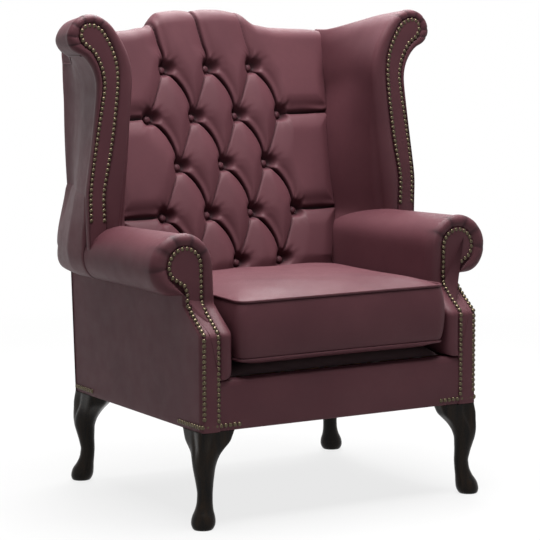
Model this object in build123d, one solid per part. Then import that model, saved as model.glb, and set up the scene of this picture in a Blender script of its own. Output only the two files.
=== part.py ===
from build123d import *

import math
import os

# Wing chair with a deep-buttoned back: beech frame, padded leather, a loose cushion and cabriole legs.
# Millimetres, +Z up, the front faces -Y, and the floor is Z = 0. The right side is +X.

# Overall sizes
overall_height = 1069.0
overall_depth = 709.0
base_width = 700.0
wing_overhang = 118.0
leg_height = 206.0
cushion_overhang = 21.0
crest_overhang = 92.5
back_lean_share = 0.06

# Timber
seat_rail_height = 100.0
side_rail_thickness = 35.0
front_rail_thickness = 31.0
back_post_depth = 38.0
back_post_head_drop = 69.0
back_post_bend_z = 560.0
back_post_head_width = 20.0
back_rail_thickness = 28.0
corner_block_leg = 78.0
corner_block_height = 60.0
arm_rail_height = 35.0
arm_board_width = 62.0
arm_board_thickness = 20.0
tack_rail_height = 50.0
tack_rail_thickness = 22.0
tack_rail_rise = 44.0
wing_board_thickness = 25.0
wing_rail_height = 34.0
wing_rail_thickness = 22.0
crest_rail_foot_drop = 144.0
crest_rail_step_drop = 68.0
crest_rail_hump_drop = 32.0
crest_rail_rear_reach = 20.0

# Upholstery
panel_thickness = 12.0
rear_panel_thickness = 10.0
facing_thickness = 8.0
wing_facing_thickness = 6.0
border_lip_depth = 25.0
border_lip_thickness = 8.0
border_edge_radius = 7.0
dust_cover_thickness = 1.5
dust_cover_inset = 14.0
leg_clear_margin = 3.0
fit_clearance = 0.3
overrun = 60.0
curve_steps = 5

# Arms
arm_setback = 71.0
arm_slope_low_z = 411.0
arm_slope_high_z = 465.0
arm_limb_front_thickness = 79.0
arm_limb_rear_thickness = 98.0
arm_limb_bend_z = 430.0
arm_roll_centre_z = 548.0
arm_roll_front_inward = 74.0
arm_roll_rear_inward = 88.0
arm_roll_outward = 76.0
arm_roll_under_outward = 28.0
arm_roll_front_top_z = 620.0
arm_roll_rear_top_z = 604.0
arm_roll_waist_margin = 72.0
arm_roll_waist_outward = 56.0
arm_roll_waist_top_z = 598.0
arm_roll_waist_centre_z = 542.0
arm_roll_tail_outward = 28.0
arm_roll_tail_top_z = 580.0
arm_roll_tail_centre_z = 520.0
arm_facing_width = 43.0
arm_facing_edge = 4.0
arm_scroll_inward = 3.5
arm_scroll_centre_z = 549.0
arm_scroll_radius = 42.0
arm_scroll_throat_radius = 34.0
arm_board_scroll_radius = 35.0

# Wings. Each outline is a list of places with the bulge of the edge that follows.
# Places across are shares of half the wing span, where the base's side lies at the base share.
# Heights are shares of the rise from the arm roll's centre to the top.
wing_front_margin = 234.5
wing_middle_margin = 132.0
wing_tail_margin = 12.0
wing_rear_drop = 49.0
wing_base_share = 0.748
wing_front_shares = [
    (0.739, 0.0, 0.0),
    (0.739, 0.10, 0.01),
    (0.666, 0.676, 0.11),
    (0.748, 0.926, 0.10),
    (0.866, 1.0, 0.20),
    (1.0, 0.912, 0.20),
    (0.925, 0.833, -0.13),
    (0.846, 0.676, -0.01),
    (0.912, 0.257, 0.0),
    (0.908, 0.0, 0.0),
]
wing_middle_shares = [
    (0.560, 0.0, 0.0),
    (0.605, 0.10, 0.04),
    (0.672, 0.676, 0.06),
    (0.722, 0.900, 0.12),
    (0.840, 0.972, 0.20),
    (0.972, 0.892, 0.20),
    (0.890, 0.828, -0.12),
    (0.800, 0.676, -0.01),
    (0.860, 0.257, 0.0),
    (0.830, 0.0, 0.0),
]
wing_rear_shares = [
    (0.560, 0.0, 0.0),
    (0.600, 0.10, 0.04),
    (0.672, 0.676, 0.03),
    (0.692, 0.900, 0.10),
    (0.720, 1.0, 0.10),
    (0.746, 0.940, 0.05),
    (0.748, 0.860, 0.01),
    (0.748, 0.676, 0.01),
    (0.748, 0.257, 0.0),
    (0.748, 0.0, 0.0),
]
wing_cover_shares = [
    (0.888, 0.0, 0.0),
    (0.888, 0.257, -0.01),
    (0.826, 0.676, 0.13),
    (0.906, 0.83, 0.0),
]
wing_cover_rear_share = 0.722
wing_cover_rear_bulge = 0.1
wing_facing_shares = [
    (0.812, 0.0, 0.0),
    (0.822, 0.257, 0.02),
    (0.744, 0.676, 0.10),
    (0.806, 0.916, 0.12),
    (0.880, 0.962, 0.28),
    (0.944, 0.905, 0.12),
    (0.885, 0.852, -0.10),
    (0.826, 0.676, 0.01),
    (0.906, 0.257, 0.0),
    (0.902, 0.0, 0.0),
]
wing_board_inset = 5.0
wing_board_foot_width = 24.0

# Deep-buttoned back. Rows count up from the lowest, and the pitch is from button to button.
back_thickness_low = 162.5
lowest_button_z = 500.0
highest_button_drop = 130.1
button_rows = 5
button_pitch_across = 115.0
fold_depth = 22.0
fold_reach = 50.0
fold_steps = 4
pit_depth = 33.0
pit_mouth_radius = 27.0
pit_mouth_depth = 12.0
pit_floor_radius = 13.5
pit_sides = 8
button_radius = 12.0
button_taper_deg = 20.0
button_height = 9.0
button_sides = 8
tie_radius = 1.6
tie_sides = 4
pad_rear_low_margin = 112.0
pad_rear_low_z = 370.0
pad_rear_high_reach = 15.5
pad_rear_high_drop = 139.0
pad_thickness_high = 37.9
hessian_thickness = 1.5
webbing_thickness = 2.0
webbing_width = 50.0
webbing_count = 5
back_half_width_shares = [(0.0, 0.720), (0.46, 0.720), (0.562, 0.808), (0.767, 0.880), (1.0, 0.928)]

# Camel-back crest, as a list of places across and the drop of the crest there
crest_foot_drop = 84.0
crest_radius = 38.5
shoulder_radius = 33.0
crest_lip_share = 0.5
crest_lip_height = 6.0
hump_half_width = 115.0
hump_shoulder_x = 152.0
hump_drop = 38.0
shoulder_end_drop = 53.0
pleat_depth = 9.0
pleat_reach_share = 0.13
pleat_middle_share = 0.4
crest_flare = 45.0

# Seat
spring_wire = 3.5
spring_count = 5
spring_side_margin = 83.0
spring_width = 46.0
spring_bars = 13
clip_wall = 1.5
clip_width = 20.0
clip_length = 12.0
deck_top_z = 342.0
deck_clearance = 2.0

# Cushion
cushion_front_side_gap = 13.0
cushion_rear_side_gap = 8.0
cushion_seam_inset = 12.0
cushion_back_clearance = 7.0
cushion_front_bow = 5.0
cushion_side_bow = 3.0
cushion_corner_radius = 26.0
cushion_low_seam_z = 360.0
cushion_high_seam_z = 475.0
cushion_top_z = 500.0
cushion_boxing_bulge = 7.0
underside_shares = [(0.0, 1.0), (0.5, 0.25)]
boxing_shares = [(0.0, 0.0), (0.2, 0.7), (0.5, 1.0), (0.8, 0.7), (1.0, 0.0)]
cushion_underside_inset = 42.0
crown_shares = [(0.0, 0.0), (0.44, 0.12), (0.76, 0.36), (0.93, 0.65), (1.0, 1.0)]
crown_inset = 175.0
core_inset = 34.0
piping_height = 7.0
piping_proud = 3.0
piping_tuck = 3.0
piping_edge = 2.0
zip_end_margin = 39.0
zip_width = 26.0
zip_recess_depth = 7.0
zip_tape_thickness = 1.5
zip_coil_width = 5.0
zip_coil_thickness = 1.5
slider_length = 12.0
slider_width = 9.0
slider_thickness = 3.0
slider_travel_margin = 8.0

# Legs. Levels run from the floor up. Each has its height as a share of the leg's, then the middle's
# inset from the corner, the width across the leg's diagonal and the width along it, as shares of the
# head's width, and how much of the knee's winged shape it has.
leg_top_width = 93.0
leg_shares = [
    (0.0, 0.114, 0.43, 0.43, 0.0),
    (0.025, 0.118, 0.53, 0.52, 0.0),
    (0.07, 0.132, 0.57, 0.55, 0.0),
    (0.13, 0.150, 0.53, 0.52, 0.0),
    (0.19, 0.188, 0.42, 0.42, 0.0),
    (0.26, 0.222, 0.365, 0.36, 0.0),
    (0.36, 0.240, 0.355, 0.34, 0.0),
    (0.47, 0.216, 0.41, 0.39, 0.0),
    (0.62, 0.181, 0.52, 0.51, 0.1),
    (0.70, 0.193, 0.61, 0.60, 0.25),
    (0.765, 0.224, 0.73, 0.69, 0.5),
    (0.82, 0.258, 0.91, 0.79, 0.85),
    (0.88, 0.300, 1.13, 0.93, 1.0),
    (1.0, 0.353, 1.29, 1.0, 1.0),
]
knee_shares = [(-1.0, 0.0), (0.35, 1.0), (1.0, 0.52), (1.0, -0.52), (0.35, -1.0)]
knee_steps = [4, 2, 4, 2, 4]
bolt_radius = 4.0
bolt_sides = 10
bolt_inset = 9.5
bolt_leg_depth = 18.0
nut_radius = 8.0
nut_height = 7.0

# Studs
stud_pitch = 11.0
stud_radius = 5.0
stud_height = 2.6
stud_sides = 5
stud_row_inset = 4.5
stud_row_z = 218.0
corner_row_studs = 9
rear_corner_row_studs = 8

# Places worked out from the sizes above
half_base = base_width / 2
half_span = half_base + wing_overhang
front_y = -overall_depth / 2 + cushion_overhang
rear_y = overall_depth / 2 - crest_overhang
rail_top_z = leg_height + seat_rail_height
frame_x = half_base - panel_thickness
inner_x = frame_x - side_rail_thickness
rail_front_y = front_y + panel_thickness
rail_back_y = rail_front_y + front_rail_thickness
arm_face_y = front_y + arm_setback
limb_bottom_z = rail_top_z + border_lip_thickness
arm_under_z = arm_slope_high_z + 2 * stud_pitch
arm_limb_front_x = half_base - arm_limb_front_thickness
arm_limb_rear_x = half_base - arm_limb_rear_thickness
arm_facing_outer_x = half_base - arm_facing_edge
arm_facing_inner_x = arm_facing_outer_x - arm_facing_width
arm_scroll_centre_x = half_base - arm_scroll_inward
back_post_head_z = overall_height - back_post_head_drop
crest_foot_z = overall_height - crest_foot_drop
crest_rail_low_z = overall_height - crest_rail_foot_drop
crest_rail_step_z = overall_height - crest_rail_step_drop
crest_rail_hump_z = overall_height - crest_rail_hump_drop
wing_front_y = rear_y - wing_front_margin
wing_middle_y = rear_y - wing_middle_margin
wing_tail_y = rear_y - wing_tail_margin
pad_front_y = rear_y - back_thickness_low
pad_rear_low_y = rear_y - pad_rear_low_margin
pad_rear_high_z = overall_height - pad_rear_high_drop
pad_rear_slope = (pad_rear_high_reach + pad_rear_low_margin) / (pad_rear_high_z - pad_rear_low_z)
pad_front_high_y = rear_y + pad_rear_high_reach - pad_thickness_high
back_slope = math.atan2(pad_front_high_y - pad_front_y, pad_rear_high_z - lowest_button_z)
button_rise = overall_height - highest_button_drop - lowest_button_z
button_pitch_up = button_rise / math.cos(back_slope) / (button_rows - 1)
cushion_front_half_width = arm_limb_front_x - cushion_front_side_gap
cushion_rear_half_width = arm_limb_rear_x - cushion_rear_side_gap
zip_half_length = cushion_rear_half_width - zip_end_margin
tack_rail_low_z = rail_top_z + tack_rail_rise
spring_base_z = rail_top_z + clip_wall
hessian_low_z = spring_base_z + spring_wire
deck_low_z = hessian_low_z + hessian_thickness


def outside_back_y(z, inward=0.0):
    """The outside back's outer face at a height, or a place inward of it."""
    return rear_y + (z - leg_height) * back_lean_share - inward


def pad_rear_y(z, behind=0.0):
    """The flat rear of the back pad at a height, or a place behind it."""
    return pad_rear_low_y + (z - pad_rear_low_z) * pad_rear_slope + behind


def back_half_width(z):
    """Half the width of the inside back at a height, where it meets the arms and the wings."""
    share = z / overall_height
    for (low, near), (high, far) in zip(back_half_width_shares, back_half_width_shares[1:]):
        if share <= high:
            break
    along = (share - low) / (high - low)
    return half_base * (near + (far - near) * along)


def post_inner_x(z):
    """The back post's inner face at a height. Above its bend the post leans out with the back."""
    if z <= back_post_bend_z:
        return inner_x
    along = (z - back_post_bend_z) / (back_post_head_z - back_post_bend_z)
    return inner_x + (back_half_width(back_post_head_z) - inner_x) * along


def block(x_low, x_high, y_low, y_high, z_low, z_high):
    """A box between two corners."""
    centre = Pos((x_low + x_high) / 2, (y_low + y_high) / 2, (z_low + z_high) / 2)
    return centre * Box(x_high - x_low, y_high - y_low, z_high - z_low)


def side_plate(points, x_low, x_high):
    """An outline of (y, z) places, carried across from x_low to x_high."""
    face = Plane.YZ.offset(x_low) * Polygon(*points, align=None)
    return extrude(face, x_high - x_low, dir=(1, 0, 0))


def front_plane(y):
    """A plane seen from the front at y, with its own axes along +X and +Z."""
    return Plane(origin=(0, y, 0), x_dir=(1, 0, 0), z_dir=(0, -1, 0))


def front_plate(outline, y_low, y_high):
    """A face drawn in (x, z), carried from y_high forward to y_low."""
    return extrude(front_plane(y_high) * outline, y_high - y_low, dir=(0, -1, 0))


def mirrored(shape):
    """The same piece on the left side."""
    return mirror(shape, about=Plane.YZ)


def quarter_turn(start, end, centre):
    """Places along a quarter turn round a centre that is level with one end and plumb with the other."""
    places = []
    for step in range(curve_steps):
        angle = math.pi / 2 * step / curve_steps
        near, far = math.cos(angle), math.sin(angle)
        places.append(tuple(c + (s - c) * near + (e - c) * far for s, e, c in zip(start, end, centre)))
    return places


def faceted_loft(sections):
    """A loft through sections of places in space that have the same count, with flat facets between them."""
    faces = [Face(Wire.make_polygon(section)) for section in (sections[0], sections[-1])]
    for near, far in zip(sections, sections[1:]):
        for index, place in enumerate(near):
            after = (index + 1) % len(near)
            faces.append(Face(Wire.make_polygon([place, near[after], far[after]])))
            faces.append(Face(Wire.make_polygon([place, far[after], far[index]])))
    return Solid(Shell(faces))


def curved_outline(places):
    """A closed outline of (x, z, bulge) places. A bulge is the next edge's rise as a share of its length."""
    points = []
    for (x, z, bulge), (next_x, next_z, _) in zip(places, places[1:] + places[:1]):
        run_x, run_z = next_x - x, next_z - z
        steps = curve_steps if bulge else 1
        for step in range(steps):
            along = step / steps
            rise = 4 * bulge * along * (1 - along)
            points.append((x + run_x * along - run_z * rise, z + run_z * along + run_x * rise))
    return points


def front_sections(stations):
    """The (y, outline) stations of a form as sections of places in space."""
    return [[(x, y, z) for x, z in outline] for y, outline in stations]


def raked_band(near, far, z_low, z_high, x_low, x_high):
    """A board parallel to the outside back, between two distances in from its outer face."""
    points = [
        (outside_back_y(z_low, far), z_low),
        (outside_back_y(z_low, near), z_low),
        (outside_back_y(z_high, near), z_high),
        (outside_back_y(z_high, far), z_high),
    ]
    return side_plate(points, x_low, x_high)


def sloped_band(near, far, z_low, z_high, x_low, x_high):
    """A sheet or board along the back pad's rear, between two distances behind it."""
    points = [
        (pad_rear_y(z_low, near), z_low),
        (pad_rear_y(z_low, far), z_low),
        (pad_rear_y(z_high, far), z_high),
        (pad_rear_y(z_high, near), z_high),
    ]
    return side_plate(points, x_low, x_high)


def jog_y(z):
    """The arm's front face at a height: upright, then sloping back, then upright again."""
    if z <= arm_slope_low_z:
        return front_y
    if z >= arm_slope_high_z:
        return arm_face_y
    along = (z - arm_slope_low_z) / (arm_slope_high_z - arm_slope_low_z)
    return front_y + arm_setback * along


def jogged_band(near, far, z_low, z_high):
    """The space between two distances behind the arm's jogged front face."""
    levels = [z_low, arm_slope_low_z, arm_slope_high_z, z_high]
    points = [(jog_y(z) + near, z) for z in levels] + [(jog_y(z) + far, z) for z in reversed(levels)]
    return side_plate(points, 0, half_span)


def back_outline(z_low, z_high, margin=0.0):
    """The inside back seen from the front between two heights, as a symmetrical polygon."""
    inner = [share * overall_height for share, _ in back_half_width_shares]
    levels = [z_low] + [z for z in inner if z_low < z < z_high] + [z_high]
    right = [(back_half_width(z) - margin, z) for z in levels]
    left = [(-x, z) for x, z in reversed(right)]
    return Polygon(*(right + left), align=None)


# Seat frame

def seat_rails():
    """Front, side and back rails, with the side rails running from the arm posts to the back posts."""
    front = block(-inner_x, inner_x, rail_front_y, rail_back_y, leg_height, rail_top_z)
    near, far = rear_panel_thickness, rear_panel_thickness + back_rail_thickness
    back = raked_band(near, far, leg_height, rail_top_z, -inner_x, inner_x)
    post_front = rear_panel_thickness + back_post_depth
    side_points = [
        (rail_back_y, leg_height),
        (outside_back_y(leg_height, post_front), leg_height),
        (outside_back_y(rail_top_z, post_front), rail_top_z),
        (rail_back_y, rail_top_z),
    ]
    return front, back, side_plate(side_points, inner_x, frame_x)


def back_post():
    """Upright from the back leg to the crest rail, leaning out above the arm."""
    inner = [(post_inner_x(z), z) for z in (leg_height, back_post_bend_z, back_post_head_z)]
    head_outer = post_inner_x(back_post_head_z) + back_post_head_width
    outer = [(head_outer, back_post_head_z), (frame_x, back_post_bend_z), (frame_x, leg_height)]
    upright = front_plate(Polygon(*(inner + outer), align=None), 0, overall_depth)
    near = rear_panel_thickness
    return upright & raked_band(near, near + back_post_depth, leg_height, back_post_head_z, 0, half_span)


def corner_places():
    """The four inside corners of the seat frame, each with the directions that lead inward."""
    back_face = outside_back_y(leg_height, rear_panel_thickness + back_rail_thickness)
    return [
        (side * inner_x, y, -side, inward)
        for side in (-1, 1)
        for y, inward in ((rail_back_y, 1), (back_face, -1))
    ]


def corner_blocks():
    """Glued corner blocks, bored for the leg bolts."""
    blocks = []
    for x, y, across, along in corner_places():
        corners = [(x, y), (x + across * corner_block_leg, y), (x, y + along * corner_block_leg)]
        face = Plane.XY.offset(leg_height) * Polygon(*corners, align=None)
        solid = extrude(face, corner_block_height, dir=(0, 0, 1))
        bore = Pos(x + across * bolt_inset, y + along * bolt_inset, leg_height + corner_block_height / 2)
        blocks.append(solid - bore * Cylinder(bolt_radius + fit_clearance, 2 * corner_block_height))
    return Compound(children=blocks)


def leg_bolts():
    """Hanger bolts up through the corner blocks, each with its nut."""
    bolts = []
    length = bolt_leg_depth + corner_block_height + 2 * nut_height
    for x, y, across, along in corner_places():
        place = Pos(x + across * bolt_inset, y + along * bolt_inset, leg_height)
        stem = extrude(Plane.XY.offset(-bolt_leg_depth) * RegularPolygon(bolt_radius, bolt_sides), length)
        nut = extrude(Plane.XY.offset(corner_block_height) * RegularPolygon(nut_radius, 6), nut_height)
        bolts.append(place * (stem + nut))
    return Compound(children=bolts)


def knee_outline():
    """The winged knee seen from above, with its point at the corner, as shares of its two half widths."""
    points = []
    after = knee_shares[1:] + knee_shares[:1]
    for (near, wide), (next_near, next_wide), steps in zip(knee_shares, after, knee_steps):
        for step in range(steps):
            along = step / steps
            points.append((near + (next_near - near) * along, wide + (next_wide - wide) * along))
    return points


def leg_section(height, inset, across, along, knee, side, facing, corner_y):
    """One level section of a leg: a round ankle or foot, or the knee with its wings along the rails."""
    root = math.sqrt(0.5)
    outline = knee_outline()
    points = []
    for index, (near, wide) in enumerate(outline):
        turn = 2 * math.pi * index / len(outline)
        inward = ((1 - knee) * -math.cos(turn) + knee * near) * along / 2
        sideways = ((1 - knee) * math.sin(turn) + knee * wide) * across / 2
        x_in = leg_top_width * (inset + root * (inward + sideways))
        y_in = leg_top_width * (inset + root * (inward - sideways))
        points.append((side * (half_base - x_in), corner_y + facing * y_in, height * leg_height))
    return points


def leg(side, front):
    """A cabriole leg: a winged knee, a narrow ankle and a pad foot that kicks out."""
    corner_y = front_y if front else rear_y
    facing = 1 if front else -1
    sections = [leg_section(*share, side, facing, corner_y) for share in leg_shares]
    body = faceted_loft(sections)
    for x, y, across, along in corner_places():
        if x * side > 0 and along == facing:
            depth = bolt_leg_depth + fit_clearance
            hole = Pos(x + across * bolt_inset, y + along * bolt_inset, leg_height - depth / 2)
            body = body - hole * Cylinder(bolt_radius + fit_clearance, depth)
    return body


# Arms

def arm_section(limb_x, roll_inner_x, top_z, outer_x, under_x, centre):
    """The arm's section: a flat inside limb that rises into a roll over the arm rail."""
    inside, outside = (roll_inner_x, centre), (outer_x, centre)
    top, under = (half_base, top_z), (under_x, arm_under_z)
    points = [(inner_x, limb_bottom_z), (limb_x, limb_bottom_z), (limb_x, arm_limb_bend_z)]
    points += quarter_turn(inside, top, (half_base, centre))
    points += quarter_turn(top, outside, (half_base, centre))
    points += quarter_turn(outside, under, (under_x, centre))
    return points + [under, (inner_x, arm_under_z)]


def arm_form():
    """The arm pad's outer form, from the front face to the outside back."""
    outer_x, under_x = half_base + arm_roll_outward, half_base + arm_roll_under_outward
    rear_inner_x = half_base - arm_roll_rear_inward
    waist_x = half_base + arm_roll_waist_outward
    tail_x = half_base + arm_roll_tail_outward
    front = arm_section(
        arm_limb_front_x, half_base - arm_roll_front_inward, arm_roll_front_top_z, outer_x, under_x,
        arm_roll_centre_z,
    )
    middle = arm_section(
        arm_limb_rear_x, rear_inner_x, arm_roll_rear_top_z, outer_x, under_x, arm_roll_centre_z
    )
    waist = arm_section(
        arm_limb_rear_x, rear_inner_x, arm_roll_waist_top_z, waist_x, (waist_x + half_base) / 2,
        arm_roll_waist_centre_z,
    )
    tail = arm_section(
        arm_limb_rear_x, rear_inner_x, arm_roll_tail_top_z, tail_x, half_base, arm_roll_tail_centre_z
    )
    waist_y, tail_y = rear_y - arm_roll_waist_margin, outside_back_y(arm_under_z)
    stations = [(front_y, front), (wing_middle_y, middle), (waist_y, waist), (tail_y, tail)]
    return faceted_loft(front_sections(stations))


def behind_back():
    """The space behind the outside back's inner face."""
    return raked_band(-overall_depth, rear_panel_thickness, 0, 2 * overall_height, -half_span, half_span)


def behind_arm_front():
    """Everything behind the arm's jogged front face."""
    return jogged_band(0, overall_depth, 0, overall_height)


def back_zone():
    """The space that the inside back and its frame take between the arms and the wings."""
    wide = front_plate(back_outline(leg_height, overall_height), pad_front_y - overrun, overall_depth)
    front_points = [
        (pad_front_y, leg_height),
        (pad_front_y, lowest_button_z),
        (crest_plane_y(overall_height), overall_height),
        (overall_depth, overall_height),
        (overall_depth, leg_height),
    ]
    pad_space = wide & side_plate(front_points, -half_span, half_span)
    frame_space = sloped_band(0, overall_depth, leg_height, back_post_bend_z - overrun, -inner_x, inner_x)
    return pad_space + frame_space


def arm_facing_outline(inner, outer, radius):
    """The arm facing: a straight board that runs up into a round scroll."""
    scroll = Pos(arm_scroll_centre_x, arm_scroll_centre_z) * Circle(radius)
    throat = arm_scroll_throat_radius
    neck_top = arm_scroll_centre_z - radius * math.sqrt(0.5)
    scroll_side = arm_scroll_centre_x - radius
    neck = make_face([
        Line((inner, leg_height), (inner, arm_slope_low_z)),
        Line((inner, arm_slope_low_z), (scroll_side, arm_scroll_centre_z)),
        Line((scroll_side, arm_scroll_centre_z), (arm_scroll_centre_x + radius * math.sqrt(0.5), neck_top)),
        ThreePointArc(
            (arm_scroll_centre_x + radius * math.sqrt(0.5), neck_top),
            (outer + throat * (1 - math.sqrt(0.5)), neck_top - throat / 2),
            (outer, neck_top - throat),
        ),
        Line((outer, neck_top - throat), (outer, leg_height)),
        Line((outer, leg_height), (inner, leg_height)),
    ])
    return scroll + neck


def arm_facing():
    """The leather-covered facing on the front of the arm."""
    outline = arm_facing_outline(arm_facing_inner_x, arm_facing_outer_x, arm_scroll_radius)
    plate = front_plate(outline, front_y - overrun, overall_depth)
    return plate & jogged_band(0, facing_thickness, leg_height, overall_height)


def arm_post():
    """The front arm post, sawn to the facing's shape and standing on the front leg."""
    outline = arm_facing_outline(inner_x, frame_x, arm_board_scroll_radius)
    plate = front_plate(outline, front_y - overrun, overall_depth)
    rear = panel_thickness + front_rail_thickness
    return plate & jogged_band(facing_thickness, rear, leg_height, overall_height)


def arm_boards():
    """The arm rail, the wide board under the roll, and the tacking rail low on the inside."""
    start = arm_face_y + panel_thickness + front_rail_thickness
    post_front = rear_panel_thickness + back_post_depth

    def board(x_low, x_high, z_low, z_high, front):
        points = [
            (front, z_low),
            (outside_back_y(z_low, post_front), z_low),
            (outside_back_y(z_high, post_front), z_high),
            (front, z_high),
        ]
        return side_plate(points, x_low, x_high)

    rail_low = arm_under_z - arm_rail_height
    rail = board(inner_x, frame_x, rail_low, arm_under_z, start)
    top = board(inner_x, inner_x + arm_board_width, arm_under_z, arm_under_z + arm_board_thickness, start)
    tack_high = tack_rail_low_z + tack_rail_height
    tack = board(inner_x, inner_x + tack_rail_thickness, tack_rail_low_z, tack_high, rail_back_y)
    return rail, top, tack


def outside_arm():
    """The flat outside arm panel, cut to the arm's front and to the outside back."""
    low, high = leg_height, arm_under_z
    points = [(jog_y(z), z) for z in (low, arm_slope_low_z, arm_slope_high_z, high)]
    points += [(outside_back_y(z, rear_panel_thickness), z) for z in (high, low)]
    return side_plate(points, frame_x, half_base)


# Wings

def wing_x(share):
    """A wing's place across: inside the base's side it follows the base, and outside it the span."""
    if share <= wing_base_share:
        return half_base * share / wing_base_share
    return half_base + (half_span - half_base) * (share - wing_base_share) / (1 - wing_base_share)


def wing_outline(shares, top_z=overall_height):
    """A wing section from its list of shares."""
    rise = top_z - arm_roll_centre_z
    return curved_outline([(wing_x(x), arm_roll_centre_z + z * rise, bulge) for x, z, bulge in shares])


def wing_form():
    """The whole wing: a curved front that rolls outward at the top, drawn in to the back post."""
    rear = outside_back_y(overall_height)
    front = wing_outline(wing_front_shares)
    middle = wing_outline(wing_middle_shares)
    tail = wing_outline(wing_rear_shares, overall_height - wing_rear_drop)
    stations = [(wing_front_y, front), (wing_middle_y, middle), (wing_tail_y, tail), (rear, tail)]
    return faceted_loft(front_sections(stations))


def wing_cover_zone():
    """The space outside the wing's seam, which the outside wing cover takes."""
    top = wing_cover_shares[-1][1]
    outer = [(2.0, top, 0.0), (2.0, 0.0, 0.0)]
    rear_shares = [
        (wing_cover_rear_share, z, bulge * wing_cover_rear_bulge) for _, z, bulge in wing_cover_shares
    ]
    front, rear = wing_outline(wing_cover_shares + outer), wing_outline(rear_shares + outer)
    stations = [(wing_front_y - overrun, front), (wing_front_y, front)]
    stations += [(wing_tail_y, rear), (overall_depth, rear)]
    return faceted_loft(front_sections(stations))


def wing_facing():
    """The leather facing on the wing's front edge."""
    outline = Polygon(*wing_outline(wing_facing_shares), align=None)
    return front_plate(outline, wing_front_y, wing_front_y + wing_facing_thickness)


def wing_board():
    """The wing's shaped front board. Its foot passes through the arm roll to the arm board."""
    board_top = arm_under_z + arm_board_thickness
    outline = offset(Polygon(*wing_outline(wing_facing_shares), align=None), -wing_board_inset)
    foot_z = arm_roll_centre_z + 2 * wing_board_inset
    x_in = wing_x(wing_facing_shares[0][0]) + wing_board_inset
    x_out = wing_x(wing_facing_shares[-1][0]) - wing_board_inset
    foot = Polygon(
        (frame_x, board_top),
        (frame_x + wing_board_foot_width, board_top),
        (x_out, foot_z),
        (x_in, foot_z),
        align=None,
    )
    front = wing_front_y + wing_facing_thickness
    rear = front + wing_board_thickness
    return front_plate(outline, front, rear) + front_plate(foot, front, rear)


def wing_rail():
    """The wing's top rail, from the shaped board back to the post."""
    top = arm_roll_centre_z + wing_cover_shares[-1][1] * (overall_height - arm_roll_centre_z)
    start = wing_front_y + wing_facing_thickness + wing_board_thickness
    stop = outside_back_y(top, rear_panel_thickness + back_post_depth)
    front_x = wing_x(wing_facing_shares[2][0]) + 2 * wing_board_inset
    rear_x = post_inner_x(top)
    corners = [
        (front_x, start),
        (front_x + wing_rail_thickness, start),
        (rear_x + back_post_head_width, stop + overrun),
        (rear_x, stop + overrun),
    ]
    face = Plane.XY.offset(top - wing_rail_height) * Polygon(*corners, align=None)
    rail = extrude(face, wing_rail_height, dir=(0, 0, 1))
    before_post = raked_band(
        rear_panel_thickness + back_post_depth, overall_depth, leg_height, overall_height, 0, half_span
    )
    return rail & before_post


# Back

def crest_plane_y(z):
    """The front of the back's sewn cells at a height, at the top of their swell."""
    return pad_front_y + (z - lowest_button_z) * math.tan(back_slope)


def crest_plane():
    """The sloping plane that touches the swell of the cells. Its origin is at the lowest row."""
    return Plane(
        origin=(0, crest_plane_y(lowest_button_z), lowest_button_z),
        x_dir=(1, 0, 0),
        z_dir=(0, -math.cos(back_slope), math.sin(back_slope)),
    )


def up_slope(z):
    """How far up the slope from the lowest row a height lies."""
    return (z - lowest_button_z) / math.cos(back_slope)


def height_at(up):
    """The height of a place up the slope."""
    return lowest_button_z + up * math.cos(back_slope)


def button_places():
    """The buttons in rows of three and four, as places across and up the slope."""
    places = []
    for row in range(button_rows):
        count = 4 if row % 2 else 3
        first = -(count - 1) / 2 * button_pitch_across
        up = row * button_pitch_up
        places += [(first + column * button_pitch_across, up) for column in range(count)]
    return places


def fold_radius():
    """The radius that rolls a cell's swell down to its fold."""
    return (fold_reach**2 + fold_depth**2) / (2 * fold_depth)


def roll_depth(distance):
    """How far the leather lies below the swell at a distance from a fold."""
    if distance >= fold_reach:
        return 0.0
    return fold_radius() - math.sqrt(fold_radius()**2 - (fold_reach - distance)**2)


def side_x(up):
    """Half the back's width at a place up the slope."""
    return back_half_width(height_at(up))


def sewn_cells():
    """The corners of each sewn cell, in order round it. Every edge is rolled down to its fold."""
    across, up = button_pitch_across, button_pitch_up
    low, high = up_slope(deck_top_z) - overrun, up_slope(crest_foot_z) + overrun
    cells = []
    for column in (-1, 0, 1):
        for row in (1, 3):
            centre = column * across
            cells.append([
                (centre, (row - 1) * up), (centre + across / 2, row * up),
                (centre, (row + 1) * up), (centre - across / 2, row * up),
            ])
    for side in (-1, 1):
        centre = side * across / 2
        cells.append([
            (centre, up), (centre + across / 2, 2 * up), (centre, 3 * up), (centre - across / 2, 2 * up),
        ])
        edge = 1.5 * across
        cells.append([
            (side * edge, up), (side * side_x(up), up), (side * side_x(3 * up), 3 * up),
            (side * edge, 3 * up), (side * across, 2 * up),
        ])
        cells.append([
            (centre, 3 * up), (centre + across / 2, 4 * up), (centre + across / 2, high),
            (centre - across / 2, high), (centre - across / 2, 4 * up),
        ])
        cells.append([
            (side * across, 4 * up), (side * edge, 3 * up), (side * side_x(3 * up), 3 * up),
            (side * side_x(high), high), (side * across, high),
        ])
        cells.append([
            (centre, up), (centre - across / 2, 0), (centre - across / 2, low),
            (centre + across / 2, low), (centre + across / 2, 0),
        ])
        cells.append([
            (side * across, 0), (side * across, low), (side * side_x(low), low),
            (side * side_x(0), 0), (side * side_x(up), up), (side * edge, up),
        ])
    return cells, low, high


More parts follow.
